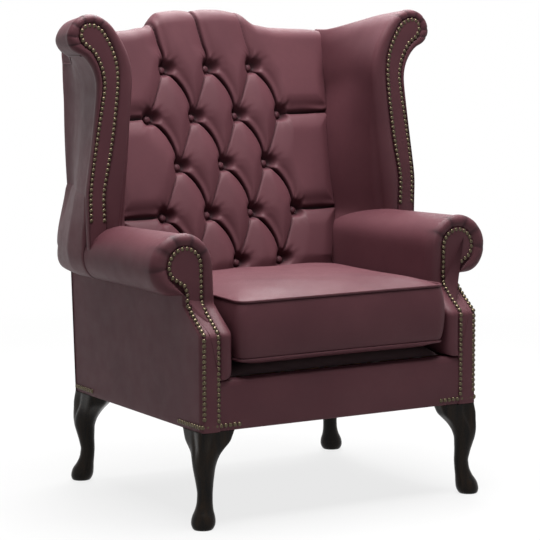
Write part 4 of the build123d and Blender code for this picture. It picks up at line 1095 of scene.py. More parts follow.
@dataclass(frozen=True)
class WingSizes:
    """Outlines of a wing at its stations, in shares of half the span and of the rise above the arm."""

    front_y: float = 0.0275
    station_y: tuple[float, ...] = (0.0275, 0.130, 0.250, 0.3138)
    rear_top_z: float = 1.020
    edge_steps: int = 14
    rows: int = 26
    edge_run: float = 0.013
    rear_gap: float = 0.006
    fill: float = 0.7
    facing_puff: float = 0.0018
    facing_lift: float = 0.0022
    facing_tuck: float = 0.001
    facing_rows: int = 90
    facing_shares: tuple[float, ...] = (0.0, 0.03, 0.08, 0.2, 0.35, 0.5, 0.65, 0.8, 0.92, 0.97, 1.0)
    cap_x: float = 0.330
    cap_share: float = 0.04
    crown_edge: float = 4.5
    first_outside_edge: int = 6
    welt: float = 0.0022
    stud_inset: float = 0.0045
    stud_low_z: float = 0.618
    pleats: Pleats = Pleats((3.55, 3.95, 4.3, 4.65, 5.0, 5.35), 0.045, 5.0)
    front_roll: tuple[tuple[float, float], ...] = (
        (0.0, -0.0015), (0.06, 0.0012), (0.22, 0.0036), (0.45, 0.0045), (0.68, 0.0036), (0.86, 0.0),
        (0.95, -0.0045), (0.99, -0.009),
    )
    front: Outline = (
        (0.739, 0.0, 0.0), (0.739, 0.10, 0.01), (0.666, 0.676, 0.11), (0.748, 0.926, 0.10),
        (0.866, 1.0, 0.20), (1.0, 0.912, 0.20), (0.925, 0.833, -0.13), (0.850, 0.676, -0.01),
        (0.914, 0.257, 0.0), (0.908, 0.0, 0.0),
    )
    middle: Outline = (
        (0.560, 0.0, 0.0), (0.605, 0.10, 0.04), (0.672, 0.676, 0.06), (0.722, 0.900, 0.12),
        (0.840, 0.972, 0.20), (0.972, 0.892, 0.20), (0.890, 0.828, -0.12), (0.808, 0.676, -0.01),
        (0.868, 0.257, 0.0), (0.830, 0.0, 0.0),
    )
    tail: Outline = (
        (0.560, 0.0, 0.0), (0.600, 0.10, 0.04), (0.670, 0.676, 0.03), (0.668, 0.900, 0.06),
        (0.696, 1.0, 0.10), (0.746, 0.940, 0.05), (0.748, 0.860, 0.01), (0.748, 0.676, 0.01),
        (0.748, 0.257, 0.0), (0.748, 0.0, 0.0),
    )
    facing: Outline = (
        (0.812, 0.0, 0.0), (0.822, 0.257, 0.02), (0.744, 0.676, 0.10), (0.806, 0.916, 0.12),
        (0.880, 0.962, 0.28), (0.944, 0.905, 0.12), (0.885, 0.852, -0.10), (0.826, 0.676, 0.01),
        (0.906, 0.257, 0.0), (0.902, 0.0, 0.0),
    )


class Wing(Piece):
    """One wing: the padded roll, its outside cover, the studded facing and the seam's welt."""

    def __init__(self, palette: Palette, side: str, mirror: bool, sizes: WingSizes = WingSizes()) -> None:
        """Keeps the palette, the side, whether it is turned over, and the sizes."""
        super().__init__(palette)
        self.s, self.side, self.mirror = sizes, side, mirror

    def outline(self, shares: Outline, top_z: float = CARCASS.height) -> np.ndarray:
        """Gives a wing outline in metres.

        Args:
            shares: The outline in shares of half the span and of the rise.
            top_z: The height that a share of 1 stands for.

        Returns:
            The points of (x, z).
        """
        rise = top_z - CARCASS.roll_z
        places = [(x * CARCASS.half_span, CARCASS.roll_z + z * rise, bulge) for x, z, bulge in shares]
        return softened(bulged(places, self.s.edge_steps), 4)

    def rings(self) -> tuple[np.ndarray, np.ndarray]:
        """Makes the wing's skin, from the facing's edge over the front roll and back to the post.

        Returns:
            The rings, and the painted shade at each point.
        """
        s = self.s
        facing, tail = self.outline(s.facing), self.outline(s.tail, s.rear_top_z)
        stations = [self.outline(s.front), self.outline(s.middle), tail, tail]
        rows = []
        for share, forward in s.front_roll:
            flat = facing + (stations[0] - facing) * share
            rows.append(upright(flat, s.front_y - forward))
        for y in np.linspace(s.front_y + s.edge_run, s.station_y[-1], s.rows):
            upper = np.searchsorted(s.station_y, y)
            upper = min(max(upper, 1), len(s.station_y) - 1)
            low_y, high_y = s.station_y[upper - 1], s.station_y[upper]
            along = (y - low_y) / (high_y - low_y)
            flat = stations[upper - 1] + (stations[upper] - stations[upper - 1]) * along
            rows.append(upright(flat, y))
        rings = eased(np.array(rows), len(s.front_roll) + 1, 4)
        rings[..., 1] = np.minimum(rings[..., 1], CARCASS.rear(rings[..., 2], s.rear_gap))
        cap = rings[-1].copy()
        cap[:, 0] = s.cap_x + (cap[:, 0] - s.cap_x) * s.cap_share
        return s.pleats.draw(np.concatenate([rings, cap[None]]), s.edge_steps)

    def split(self, rings: np.ndarray, painted_shade: np.ndarray, name: str, first: int,
              last: int) -> bpy.types.Object:
        """Makes a band of the skin into an object of its own.

        Args:
            rings: The whole skin.
            painted_shade: How much painted shade each point gets.
            name: The object's name.
            first: The band's first column.
            last: The band's last column, which may run on past the ring's end.

        Returns:
            The object.
        """
        picked = [k % rings.shape[1] for k in range(first, last + 1)]
        faces = quad_faces(rings.shape[0], len(picked), False)
        leather = self.palette.get(LEATHER)
        return make_object(name, rings[:, picked], faces, leather, painted_shade[:, picked], self.mirror)

    def build(self) -> None:
        """Makes the wing's pieces."""
        s = self.s
        rings, painted_shade = self.rings()
        count = rings.shape[1]
        seam, foot = s.first_outside_edge * s.edge_steps, (s.first_outside_edge + 3) * s.edge_steps
        inside = self.split(rings, painted_shade, self.side + "_wing_pad", foot, count + seam)
        self.settle(inside, "leather", self.side + "_inside_wing", fill=s.fill)
        outside = self.split(rings, painted_shade, self.side + "_wing_cover", seam, foot)
        self.settle(outside, "leather", self.side + "_outside_wing")
        path = rings[len(s.front_roll):-3, seam]
        piping = self.palette.get(WELT_LEATHER)
        welt = tube(self.side + "_wing_welt", path, s.welt, piping, False, 8, self.mirror)
        self.settle(welt, "leather_welt")
        self.build_facing()
        self.build_studs()

    def build_facing(self) -> None:
        """Makes the leather facing between the stud lines, slightly puffed."""
        s = self.s
        outer = self.outline(s.facing)
        steps = s.edge_steps
        count = outer.shape[0]
        crown, run = int(s.crown_edge * steps), s.facing_rows
        left = spread(outer[:crown + 1], run)
        right = spread(outer[[count - k for k in range(steps, count - crown + 1)]], run)
        shares = np.array(s.facing_shares)
        flat = left[:, None] + (right - left)[:, None] * shares[None, :, None]
        puff = s.facing_puff * np.clip(np.sin(np.pi * shares), 0.0, 1.0) ** 0.5 + s.facing_lift
        y = s.front_y - puff
        y[[0, -1]] = s.front_y + s.facing_tuck
        leather = self.palette.get(LEATHER)
        obj = sheet(self.side + "_wing_panel", flat[..., 0], y, flat[..., 1], leather,
                    mirror=self.mirror, turned=True)
        self.settle(obj, "leather", self.side + "_wing_facing")

    def build_studs(self) -> None:
        """Sets the close-nailed studs round the facing."""
        s = self.s
        outer = self.outline(s.facing)
        ahead = np.roll(outer, -1, axis=0) - np.roll(outer, 1, axis=0)
        ahead /= np.linalg.norm(ahead, axis=1)[:, None]
        inset = outer + s.stud_inset * np.column_stack([ahead[:, 1], -ahead[:, 0]])
        even = spaced(np.concatenate([inset, inset[:1]]), StudSizes.pitch)[:-1]
        even = even[even[:, 1] > s.stud_low_z]
        places = upright(even, s.front_y - s.facing_lift)
        normals = np.tile((0.0, -1.0, 0.0), (len(places), 1))
        node = self.side + "_wing_studs"
        Studs(self.palette).build(self.side + "_wing_nails", places, normals, node, self.mirror)


# Studs

@dataclass(frozen=True)
class StudSizes:
    """Sizes of the domed studs."""

    pitch: float = 0.011
    radius: float = 0.0052
    height: float = 0.0038
    sunk: float = 0.0004
    sides: int = 12
    rings: int = 5


class Studs(Piece):
    """Domed studs set along a line."""

    def build(self, name: str, places: np.ndarray, normals: np.ndarray, node: str,
              mirror: bool = False) -> None:
        """Makes one object that holds every stud of a group.

        Args:
            name: The object's name.
            places: The middle of each stud's seat.
            normals: The way each dome faces.
            node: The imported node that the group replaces.
            mirror: Whether the group is turned over to the left side.
        """
        size = StudSizes()
        turn = 2 * np.pi * np.arange(size.sides) / size.sides
        lean = np.linspace(0.0, np.pi / 2, size.rings + 1)[:-1]
        points, faces = [], []
        for place, out in zip(places, normals / np.linalg.norm(normals, axis=1)[:, None]):
            across = np.cross(out, (0.0, 0.0, 1.0))
            across /= np.linalg.norm(across)
            over = np.cross(across, out)
            start = len(points)
            for angle in lean:
                wide, high = size.radius * math.cos(angle), size.height * math.sin(angle) - size.sunk
                circle = np.outer(np.cos(turn), across) + np.outer(np.sin(turn), over)
                points += list(place + high * out + wide * circle)
            points.append(place + (size.height - size.sunk) * out)
            faces += [tuple(start + k for k in face) for face in quad_faces(size.rings, size.sides, True)]
            last = start + (size.rings - 1) * size.sides
            faces += [(last + k, last + (k + 1) % size.sides, len(points) - 1) for k in range(size.sides)]
        obj = make_object(name, np.array(points), faces, self.palette.get(BRASS), None, mirror)
        self.settle(obj, "studs", node)


# Arms

@dataclass(frozen=True)
class ArmSizes:
    """The rolled arm's section at its stations from front to rear, and its facing."""

    station_y: tuple[float, ...] = (-0.3335, 0.0, 0.130, 0.190, 0.240, 0.279)
    inner_low: tuple[float, ...] = (0.271, 0.2573, 0.252, 0.252, 0.252, 0.252)
    inner_high: tuple[float, ...] = (0.276, 0.266, 0.262, 0.262, 0.262, 0.262)
    top_z: tuple[float, ...] = (0.620, 0.6085, 0.604, 0.598, 0.590, 0.580)
    outer_x: tuple[float, ...] = (0.426, 0.426, 0.424, 0.406, 0.392, 0.378)
    middle_z: tuple[float, ...] = (0.548, 0.548, 0.548, 0.542, 0.532, 0.520)
    under_x: tuple[float, ...] = (0.378, 0.378, 0.378, 0.374, 0.364, 0.354)
    top_x: float = 0.350
    under_z: float = 0.487
    bend_z: float = 0.430
    seam_gap: float = 0.001
    toe_run: float = 0.012
    toe_gap: float = 0.002
    toe_rise: float = 0.016
    throat_run: float = 0.004
    heel_rise: float = 0.018
    start_run: float = 0.004
    start_bend: float = 0.002
    front_run: float = 0.014
    rear_gap: float = 0.009
    steps: int = 14
    rows: int = 40
    fill: float = 0.75
    pleats: Pleats = Pleats((4.35, 4.8, 5.2, 5.6, 6.05), 0.055, 4.5)
    front_roll: tuple[tuple[float, float], ...] = (
        (0.0, -0.0015), (0.05, 0.0012), (0.2, 0.0040), (0.42, 0.0055), (0.66, 0.0045), (0.84, 0.0005),
        (0.94, -0.0045), (0.985, -0.0095),
    )
    facing_inner: float = 0.303
    facing_outer: float = 0.346
    facing_shares: tuple[float, ...] = (0.0, 0.025, 0.08, 0.2, 0.35, 0.5, 0.65, 0.8, 0.92, 0.975, 1.0)
    scroll_x: float = 0.3465
    scroll_z: float = 0.549
    scroll_radius: float = 0.042
    throat: float = 0.034
    stud_inset: float = 0.0045
    stud_low_z: float = 0.218
    stud_turn: float = math.radians(8.0)
    stud_places: int = 27
    stud_steps: int = 30
    puff: float = 0.0025
    puff_lift: float = 0.0018
    puff_tuck: float = 0.001
    bend_gaps: tuple[float, float, float] = (0.008, 0.005, 0.009)
    nail_lift: float = 0.0026
    nail_ease: float = 0.0030
    nail_bend: float = 0.014
    outside_top_z: float = 0.500
    outside_puff: float = 0.0028
    outside_turn: float = 0.004
    skirt_top_z: float = 0.700
    skirt_lift: float = 0.0022
    skirt_rear_x: float = 0.336
    skirt_tuck: float = 0.0075
    skirt_blend: float = 0.034
    skirt_bend: float = 0.085
    skirt_edge: float = 0.05
    skirt_inset: float = 0.012
    skirt_gap: float = 0.001
    skirt_rear_gap: float = 0.007
    # How much shade is painted along the skirt's front edge.
    skirt_dark: float = 0.9
    skirt_edge_shares: tuple[float, ...] = (0.0, 0.006, 0.016, 0.032, 0.05)
    skirt_shares: tuple[float, float, int] = (0.08, 1.0, 34)
    skirt_front_y: tuple[float, ...] = (0.062, 0.052, 0.036, 0.036)
    skirt_y: tuple[float, ...] = (0.0275, 0.130, 0.250, 0.310)
    skirt_x: tuple[float, ...] = (0.4260, 0.4030, 0.3520, 0.3480)


class Arm(Piece):
    """One arm: the padded roll, the scroll facing with its studs, and the outside panel."""

    def __init__(self, palette: Palette, side: str, mirror: bool, sizes: ArmSizes = ArmSizes()) -> None:
        """Keeps the palette, the side, whether it is turned over, and the sizes."""
        super().__init__(palette)
        self.s, self.side, self.mirror = sizes, side, mirror

    def quarter(self, start: tuple[float, float], end: tuple[float, float],
                centre: tuple[float, float]) -> np.ndarray:
        """Gives points along a quarter of an ellipse.

        Args:
            start: Its first point.
            end: Its end, which is left out.
            centre: The ellipse's centre.

        Returns:
            The points.
        """
        t = (np.pi / 2) * np.arange(self.s.steps) / self.s.steps
        first, last, middle = np.array(start), np.array(end), np.array(centre)
        return middle + np.outer(np.cos(t), first - middle) + np.outer(np.sin(t), last - middle)

    def run(self, start: tuple[float, float], end: tuple[float, float]) -> np.ndarray:
        """Gives points along a straight run, without its end."""
        t = np.arange(self.s.steps)[:, None] / self.s.steps
        return np.array(start) + t * (np.array(end) - np.array(start))

    def section(self, y: float) -> np.ndarray:
        """Gives the arm's closed section at a place back.

        Args:
            y: The place.

        Returns:
            The points of (x, z).
        """
        s = self.s
        low, high, top, outer, middle, under = (
            float(np.interp(y, s.station_y, row))
            for row in (s.inner_low, s.inner_high, s.top_z, s.outer_x, s.middle_z, s.under_x)
        )
        base = CARCASS.border_top_z
        inside, crown, outside = (high, middle), (s.top_x, top), (outer, middle)
        seam, throat = (s.facing_inner, base + s.seam_gap), (s.facing_outer - s.throat_run, s.under_z)
        toe, heel = (low + s.toe_run, base + s.toe_gap), (low, base + s.toe_rise)
        parts = [
            self.run(seam, toe),
            self.quarter(toe, heel, (low + s.toe_run, base + s.toe_rise)),
            self.run(heel, (low, s.bend_z)),
            self.run((low, s.bend_z), inside),
            self.quarter(inside, crown, (s.top_x, middle)),
            self.quarter(crown, outside, (s.top_x, middle)),
            self.quarter(outside, (under, s.under_z), (under, middle)),
            self.run((under, s.under_z), throat),
            self.run(throat, seam),
        ]
        return softened(np.concatenate(parts), 5)

    def facing_loop(self) -> np.ndarray:
        """Gives the facing's edge that the arm's skin is nailed to.

        Returns:
            The points of (x, z), place for place with the section.
        """
        s = self.s
        base, neck = CARCASS.border_top_z, s.scroll_radius * math.sqrt(0.5)
        left, crown = (s.scroll_x - s.scroll_radius, s.scroll_z), (s.scroll_x, s.scroll_z + s.scroll_radius)
        right = (s.scroll_x + s.scroll_radius, s.scroll_z)
        under = (s.scroll_x + neck, s.scroll_z - neck)
        low = (s.facing_outer, s.scroll_z - neck - s.throat)
        start = (s.facing_inner + s.start_run, base + s.seam_gap)
        toe = (s.facing_inner + s.start_bend, base + s.seam_gap)
        heel, bend = (s.facing_inner, base + s.heel_rise), (s.facing_inner, CARCASS.slope_low_z)
        parts = [
            self.run(start, toe),
            self.run(toe, heel),
            self.run(heel, bend),
            self.run(bend, left),
            self.quarter(left, crown, (s.scroll_x, s.scroll_z)),
            self.quarter(crown, right, (s.scroll_x, s.scroll_z)),
            self.run(right, under),
            self.run(under, low),
            self.run(low, start),
        ]
        loop = np.concatenate(parts)
        turn = -np.linspace(0.0, np.pi / 4, s.steps, endpoint=False)
        first = 6 * s.steps
        loop[first:first + s.steps] = np.column_stack([
            s.scroll_x + s.scroll_radius * np.cos(turn), s.scroll_z + s.scroll_radius * np.sin(turn)
        ])
        return loop

    def rings(self) -> tuple[np.ndarray, np.ndarray]:
        """Makes the arm's skin, from the nailed edge round the front and back to the outside back.

        Returns:
            The rings, and the painted shade at each point.
        """
        s = self.s
        facing, front = self.facing_loop(), self.section(s.station_y[0])
        rows = []
        for share, forward in s.front_roll:
            flat = facing + (front - facing) * share
            rows.append(upright(flat, CARCASS.arm_front(flat[:, 1]) - forward))
        start = CARCASS.arm_front(front[:, 1]) + s.front_run
        stop = CARCASS.rear(front[:, 1], s.rear_gap)
        for along in np.linspace(0.0, 1.0, s.rows):
            y = start + (stop - start) * along
            keys = [round(float(place), 3) for place in y]
            sections = {key: self.section(key) for key in set(keys)}
            flat = np.array([sections[key][k] for k, key in enumerate(keys)])
            rows.append(upright(flat, y))
        return s.pleats.draw(eased(np.array(rows), len(s.front_roll) + 1, 2), s.steps)

    def limits(self, z: np.ndarray) -> tuple[np.ndarray, np.ndarray]:
        """Gives the facing's left and right edges at a height.

        Args:
            z: The heights.

        Returns:
            Both edges' places across.
        """
        s = self.s
        neck = s.scroll_radius * math.sqrt(0.5)
        disc = np.sqrt(np.clip(s.scroll_radius**2 - (z - s.scroll_z) ** 2, 0.0, None))
        ends = (s.facing_inner, s.scroll_x - s.scroll_radius)
        slant = np.interp(z, (CARCASS.slope_low_z, s.scroll_z), ends)
        left = np.where(z > s.scroll_z, s.scroll_x - disc, slant)
        low, high = s.scroll_z - neck - s.throat, s.scroll_z - neck
        share = np.clip((z - low) / (high - low), 0.0, 1.0)
        throat = s.facing_outer + (s.scroll_x + neck - s.facing_outer) * (1.0 - np.sqrt(1.0 - share**2))
        right = np.where(z > high, s.scroll_x + disc, throat)
        return left, right

    def build(self) -> None:
        """Makes the arm's pieces."""
        rings, painted_shade = self.rings()
        pad = lofted(self.side + "_arm_roll", rings, self.palette.get(LEATHER), painted_shade, True, self.mirror)
        self.settle(pad, "leather", self.side + "_arm_pad", fill=self.s.fill)
        self.build_facing()
        self.build_studs()
        self.build_outside()
        self.build_skirt()

    def roll_x(self, y: np.ndarray, z: np.ndarray) -> np.ndarray:
        """Gives the roll's outer surface.

        Args:
            y: The places back.
            z: The heights.

        Returns:
            The places across.
        """
        s = self.s
        top, outer, middle, under = (
            np.interp(y, s.station_y, row) for row in (s.top_z, s.outer_x, s.middle_z, s.under_x)
        )
        above = np.sqrt(np.clip(1.0 - (np.clip(z - middle, 0.0, None) / (top - middle)) ** 2, 0.0, 1.0))
        below = np.sqrt(np.clip(1.0 - (np.clip(middle - z, 0.0, None) / (middle - s.under_z)) ** 2, 0.0, 1.0))
        return np.where(z >= middle, s.top_x + (outer - s.top_x) * above, under + (outer - under) * below)

    def build_skirt(self) -> None:
        """Makes the foot of the outside wing cover, which flares over the roll and turns under it."""
        s = self.s
        turn = np.linspace(0.0, np.pi / 2, 14)
        z = np.concatenate([
            np.linspace(s.skirt_top_z, CARCASS.roll_z, 26)[:-1],
            CARCASS.roll_z - (CARCASS.roll_z - s.under_z + s.skirt_gap) * np.sin(turn),
        ])
        fall = smooth_step(-z, -s.skirt_top_z, -CARCASS.roll_z)
        front_z = (s.under_z, CARCASS.roll_z, s.skirt_top_z - s.skirt_bend, s.skirt_top_z)
        start = np.interp(z, front_z, s.skirt_front_y)
        stop = CARCASS.rear(z, s.skirt_rear_gap)
        along = np.concatenate([s.skirt_edge_shares, np.linspace(*s.skirt_shares)])
        rows = []
        for t in along:
            y = start + (stop - start) * t
            wing = np.interp(y, s.skirt_y, s.skirt_x)
            over = self.roll_x(y, z)
            outer = np.interp(y, s.station_y, s.outer_x)
            full = np.maximum(wing + (outer - wing) * fall, over) + s.skirt_lift
            full = np.where(z < CARCASS.roll_z, over + s.skirt_lift, full)
            full = full - s.skirt_tuck * smooth_step(z, s.skirt_top_z - s.skirt_blend, s.skirt_top_z)
            rise = math.sqrt(1.0 - (1.0 - min(t / s.skirt_edge, 1.0)) ** 2)
            low = np.maximum(over, np.where(z > s.top_z[2], wing - s.skirt_inset, over)) - s.skirt_gap
            rows.append(np.column_stack([low + (full - low) * rise, y, z]))
        rows.append(np.column_stack([np.full(len(z), s.skirt_rear_x), stop, z]))
        x, y, z = np.moveaxis(np.array(rows), -1, 0)
        # Painted shade along the skirt's front edge, where it turns in.
        painted_shade = np.zeros(x.shape)
        painted_shade[0] = s.skirt_dark
        leather = self.palette.get(LEATHER)
        obj = sheet(self.side + "_wing_skirt", x, y, z, leather, painted_shade, self.mirror)
        self.settle(obj, "leather", self.side + "_outside_wing")

    def build_facing(self) -> None:
        """Makes the facing: upright, sloping back over the knee, and a scroll, puffed between the studs."""
        s = self.s
        top = s.scroll_z + s.scroll_radius
        below, bend, above = s.bend_gaps
        z = np.concatenate([
            np.linspace(CARCASS.leg_height, CARCASS.slope_low_z - below, 30),
            np.linspace(CARCASS.slope_low_z - bend, CARCASS.slope_high_z + bend, 16),
            np.linspace(CARCASS.slope_high_z + above, s.scroll_z, 16),
            s.scroll_z + s.scroll_radius * np.sin(np.linspace(0.06, np.pi / 2, 22)),
        ])
        left, right = self.limits(np.minimum(z, top))
        shares = np.array(s.facing_shares)
        x = left[:, None] + (right - left)[:, None] * shares
        lift = s.puff * np.clip(np.sin(np.pi * shares), 0.0, 1.0) ** 0.5 + s.puff_lift
        lift[[0, -1]] = -s.puff_tuck
        y = CARCASS.arm_front(z)[:, None] - lift[None, :]
        y[:, 1:-1] = eased(y[:, 1:-1], 1, 2)
        leather = self.palette.get(LEATHER)
        obj = sheet(self.side + "_arm_panel", x, y, z[:, None], leather, mirror=self.mirror)
        self.settle(obj, "leather", self.side + "_arm_facing")

    def build_studs(self) -> None:
        """Sets the studs up the inside, round the scroll and down the outside of the facing."""
        s = self.s
        radius = s.scroll_radius - s.stud_inset
        inner, outer = s.facing_inner + s.stud_inset, s.facing_outer - s.stud_inset
        turn = np.pi - s.stud_turn * np.arange(1, s.stud_places + 1)
        circle = np.column_stack([s.scroll_x + radius * np.cos(turn), s.scroll_z + radius * np.sin(turn)])
        throat_top = s.scroll_z - s.scroll_radius
        start = s.stud_low_z + StudSizes.pitch
        line = np.concatenate([
            [(inner, start), (inner, CARCASS.slope_low_z), (s.scroll_x - radius, s.scroll_z)], circle,
            [(outer + s.stud_inset, throat_top), (outer, throat_top - s.throat / 2)],
            [(outer, CARCASS.slope_low_z), (outer, start)],
        ])
        path = upright(line, CARCASS.arm_front(line[:, 1]))
        dense = np.concatenate([
            path[k] + (path[k + 1] - path[k]) * np.linspace(0, 1, s.stud_steps, endpoint=False)[:, None]
            for k in range(len(path) - 1)
        ])
        dense[:, 1] = CARCASS.arm_front(dense[:, 2])
        places = spaced(dense, StudSizes.pitch)
        sloped = (places[:, 2] > CARCASS.slope_low_z) & (places[:, 2] < CARCASS.slope_high_z)
        rise = CARCASS.slope_high_z - CARCASS.slope_low_z
        normals = np.where(sloped[:, None], (0.0, -rise, CARCASS.arm_setback), (0.0, -1.0, 0.0))
        unit = normals / np.linalg.norm(normals, axis=1)[:, None]
        bend = bell(places[:, 2], CARCASS.slope_high_z, s.nail_bend)
        places = places + (s.nail_ease * bend)[:, None] * unit
        places = places + s.nail_lift * unit
        node = self.side + "_arm_studs"
        Studs(self.palette).build(self.side + "_arm_nails", places, normals, node, self.mirror)

    def build_outside(self) -> None:
        """Makes the outside panel, with its edges turned in and a slight fullness."""
        s = self.s
        low = CARCASS.leg_height
        z = np.concatenate([[low], np.linspace(low + 0.0015, s.outside_top_z, 44)])
        t = np.concatenate([[0.0, 0.006, 0.02], np.linspace(0.04, 0.96, 40), [0.98, 0.994, 1.0]])
        front, rear = CARCASS.arm_front(z) + 0.0005, CARCASS.rear(z, 0.0005)
        y = front[:, None] + (rear - front)[:, None] * t[None, :]
        puff = s.outside_puff * np.clip(np.sin(np.pi * t), 0.0, 1.0)[None, :] ** 0.4
        puff = puff * np.clip((z - low) / 0.010, 0.0, 1.0)[:, None] ** 0.5
        x = CARCASS.half_base - s.outside_puff + puff
        x[:, (0, -1)] -= s.outside_turn
        leather = self.palette.get(LEATHER)
        obj = sheet(self.side + "_arm_cover", x, y, z[:, None], leather, mirror=self.mirror, turned=True)
        self.settle(obj, "leather", self.side + "_outside_arm")


# Seat, cushion and covers

@dataclass(frozen=True)
class CushionSizes:
    """Sizes of the loose seat cushion."""

    front_y: float = -0.3425
    back_y: float = 0.0925
    front_half: float = 0.258
    rear_half: float = 0.244
    corner: float = 0.019
    front_bow: float = -0.0020
    side_bow: float = -0.0030
    floor_z: float = 0.342
    low_seam_z: float = 0.353
    high_seam_z: float = 0.475
    top_z: float = 0.5005
    bulge: float = 0.0085
    crown_inset: float = 0.212
    even_inset: float = 0.090
    belly: float = 0.0045
    welt: float = 0.0030
    welt_out: float = 0.0008
    seam_inset: float = 0.001
    under_run: float = 0.055
    under_insets: tuple[float, ...] = (
        0.212, 0.16, 0.12, 0.08, 0.055, 0.040, 0.028, 0.018, 0.010, 0.004,
    )
    corner_least: float = 0.02
    corner_growth: float = 0.35
    under_round: float = 2.4
    belly_round: float = 0.8
    boxing_round: float = 0.55
    crown_even: float = 0.35
    crown_round: float = 3.6
    # How much shade is painted along the boxing's seam rows, under the welts.
    seam_dark: float = 0.8
    low_welt_lift: float = -0.0008
    high_welt_lift: float = 0.0012
    fill: float = 0.8
    boxing_rows: int = 25
    crown_rows: int = 40
    unevenness: float = 0.0009
    uneven_rows: float = 8.0
    points: int = 300


class Cushion(Piece):
    """The loose seat cushion with its crowned top, boxing and welted seams."""

    body = "seat_cushion"

    def __init__(self, palette: Palette, sizes: CushionSizes = CushionSizes()) -> None:
        """Keeps the palette and the sizes."""
        super().__init__(palette)
        self.s = sizes

    def ring(self, inset: float) -> np.ndarray:
        """Gives a level outline of the cushion, drawn in all round by an inset, as (x, y) points.

        Args:
            inset: How far in. Past the even inset the outline shrinks toward the middle instead.

        Returns:
            The closed outline's points.
        """
        s = self.s
        if inset > s.even_inset:
            middle = np.array([0.0, (s.front_y + s.back_y) / 2])
            half_depth = (s.back_y - s.front_y) / 2
            share = (half_depth - inset) / (half_depth - s.even_inset)
            return middle + (self.ring(s.even_inset) - middle) * share
        front, back = s.front_y + inset, s.back_y - inset
        front_x, rear_x = s.front_half - inset, s.rear_half - inset
        corner = max(s.corner, s.corner_least + s.corner_growth * inset)
        lean = (front_x - rear_x) / (back - front)
        turn = np.linspace(0.0, np.pi / 2, 9)
        near_x, far_x = front_x - corner * lean, rear_x + corner * lean
        sin, cos = corner * np.sin(turn), corner * np.cos(turn)
        front_turn = np.column_stack([near_x - corner + sin, front + corner - cos])
        back_turn = np.column_stack([far_x - corner + cos, back - corner + sin])
        t = np.linspace(0.0, 1.0, 13)[1:-1]
        edge = front_turn[-1] + (back_turn[0] - front_turn[-1]) * t[:, None]
        edge[:, 0] += 4 * s.side_bow * t * (1 - t)
        right = np.concatenate([front_turn, edge, back_turn])
        left = right[::-1] * (-1.0, 1.0)
        across = left[-1] + (right[0] - left[-1]) * t[:, None]
        across[:, 1] -= 4 * s.front_bow * t * (1 - t)
        loop = np.concatenate([right, left, across, right[:1]])
        even = spread(loop, s.points + 1)[:-1]
        return softened(even, 3)

    def wander(self, x: np.ndarray, y: np.ndarray, phase: float) -> np.ndarray:
        """Gives a slow, fixed unevenness, as soft leather has.

        Args:
            x: Places across.
            y: Places back.
            phase: Which of many such patterns it is.

        Returns:
            The unevenness at each place, within about 2 either way.
        """
        return (np.sin(21.0 * x + 1.3 * phase) * np.cos(17.0 * y - 0.7 * phase)
                + 0.6 * np.sin(43.0 * x - 29.0 * y + 2.1 * phase)
                + 0.35 * np.sin(71.0 * y + 37.0 * x + phase))

    def build(self) -> None:
        """Makes the cover and its two welts."""
        s = self.s
        rows, painted_shade = [], []
        bands: list[tuple[float, float, float]] = []
        for inset in s.under_insets:
            share = 1.0 - min(inset / s.under_run, 1.0)
            belly = s.belly * math.sin(math.pi * share) ** s.belly_round
            rise = (s.low_seam_z - s.floor_z) * share**s.under_round
            bands.append((s.floor_z + rise - belly, inset, 0.0))
        height = s.high_seam_z - s.low_seam_z
        for t in np.linspace(0.0, 1.0, s.boxing_rows):
            seam = t in (0.0, 1.0)
            out = 0.0 if seam else s.bulge * math.sin(math.pi * t) ** s.boxing_round
            bands.append((s.low_seam_z + height * t, s.seam_inset - out, float(seam)))
        boxed = len(bands)
        for q in np.linspace(0.0, 1.0, s.crown_rows)[1:]:
            inset = s.crown_inset * (s.crown_even * q + (1.0 - s.crown_even) * q**2)
            share = inset / s.crown_inset
            rise = (s.top_z - s.high_seam_z) * (1.0 - (1.0 - share) ** s.crown_round)
            bands.append((s.high_seam_z + rise, s.seam_inset + inset, 0.0))
        for index, (z, inset, seam) in enumerate(bands):
            flat = self.ring(inset)
            level = np.full(len(flat), z)
            if index > boxed:
                fade = min(1.0, (index - boxed) / s.uneven_rows)
                level = level + s.unevenness * self.wander(flat[:, 0], flat[:, 1], 2.0) * fade
            rows.append(np.column_stack([flat, level]))
            # Painted shade along the boxing's two seam rows.
            painted_shade.append(np.full(len(flat), s.seam_dark * seam))
        cover = lofted("seat_cushion_cover", np.array(rows), self.palette.get(LEATHER), np.array(painted_shade))
        self.settle(cover, "leather", "cushion_cover", fill=s.fill)
        flat = self.ring(-s.welt_out)
        heights = (("lower", s.low_seam_z + s.low_welt_lift), ("upper", s.high_seam_z + s.high_welt_lift))
        for label, z in heights:
            path = np.column_stack([flat, np.full(len(flat), z)])
            welt = tube("cushion_" + label + "_welt", path, s.welt, self.palette.get(WELT_LEATHER))
            self.settle(welt, "leather_welt", "cushion_piping")


@dataclass(frozen=True)
class CoverSizes:
    """Sizes of the front border, the outside back and the deck pad."""

    border_half: float = 0.303
    border_edge: float = 0.009
    lip_y: float = -0.3085
    deck_half: float = 0.2675
    deck_back_y: float = 0.140
    deck_low_z: float = 0.3145
    deck_top_z: float = 0.3415
    deck_nose: float = 0.045
    deck_gap: float = 0.004
    deck_fill: float = 0.6
    back_top_z: float = 0.995
    back_inset: float = 0.0030
    back_puff: float = 0.0028
    back_puff_run: float = 0.030
    back_turn: float = 0.005
    border_puff: float = 0.0018
    border_puff_z: float = 0.262
    border_puff_run: float = 0.035
    border_wave: float = 0.0008
    back_half: tuple[tuple[float, float], ...] = ((0.206, 0.350), (0.548, 0.350), (0.995, 0.3405))


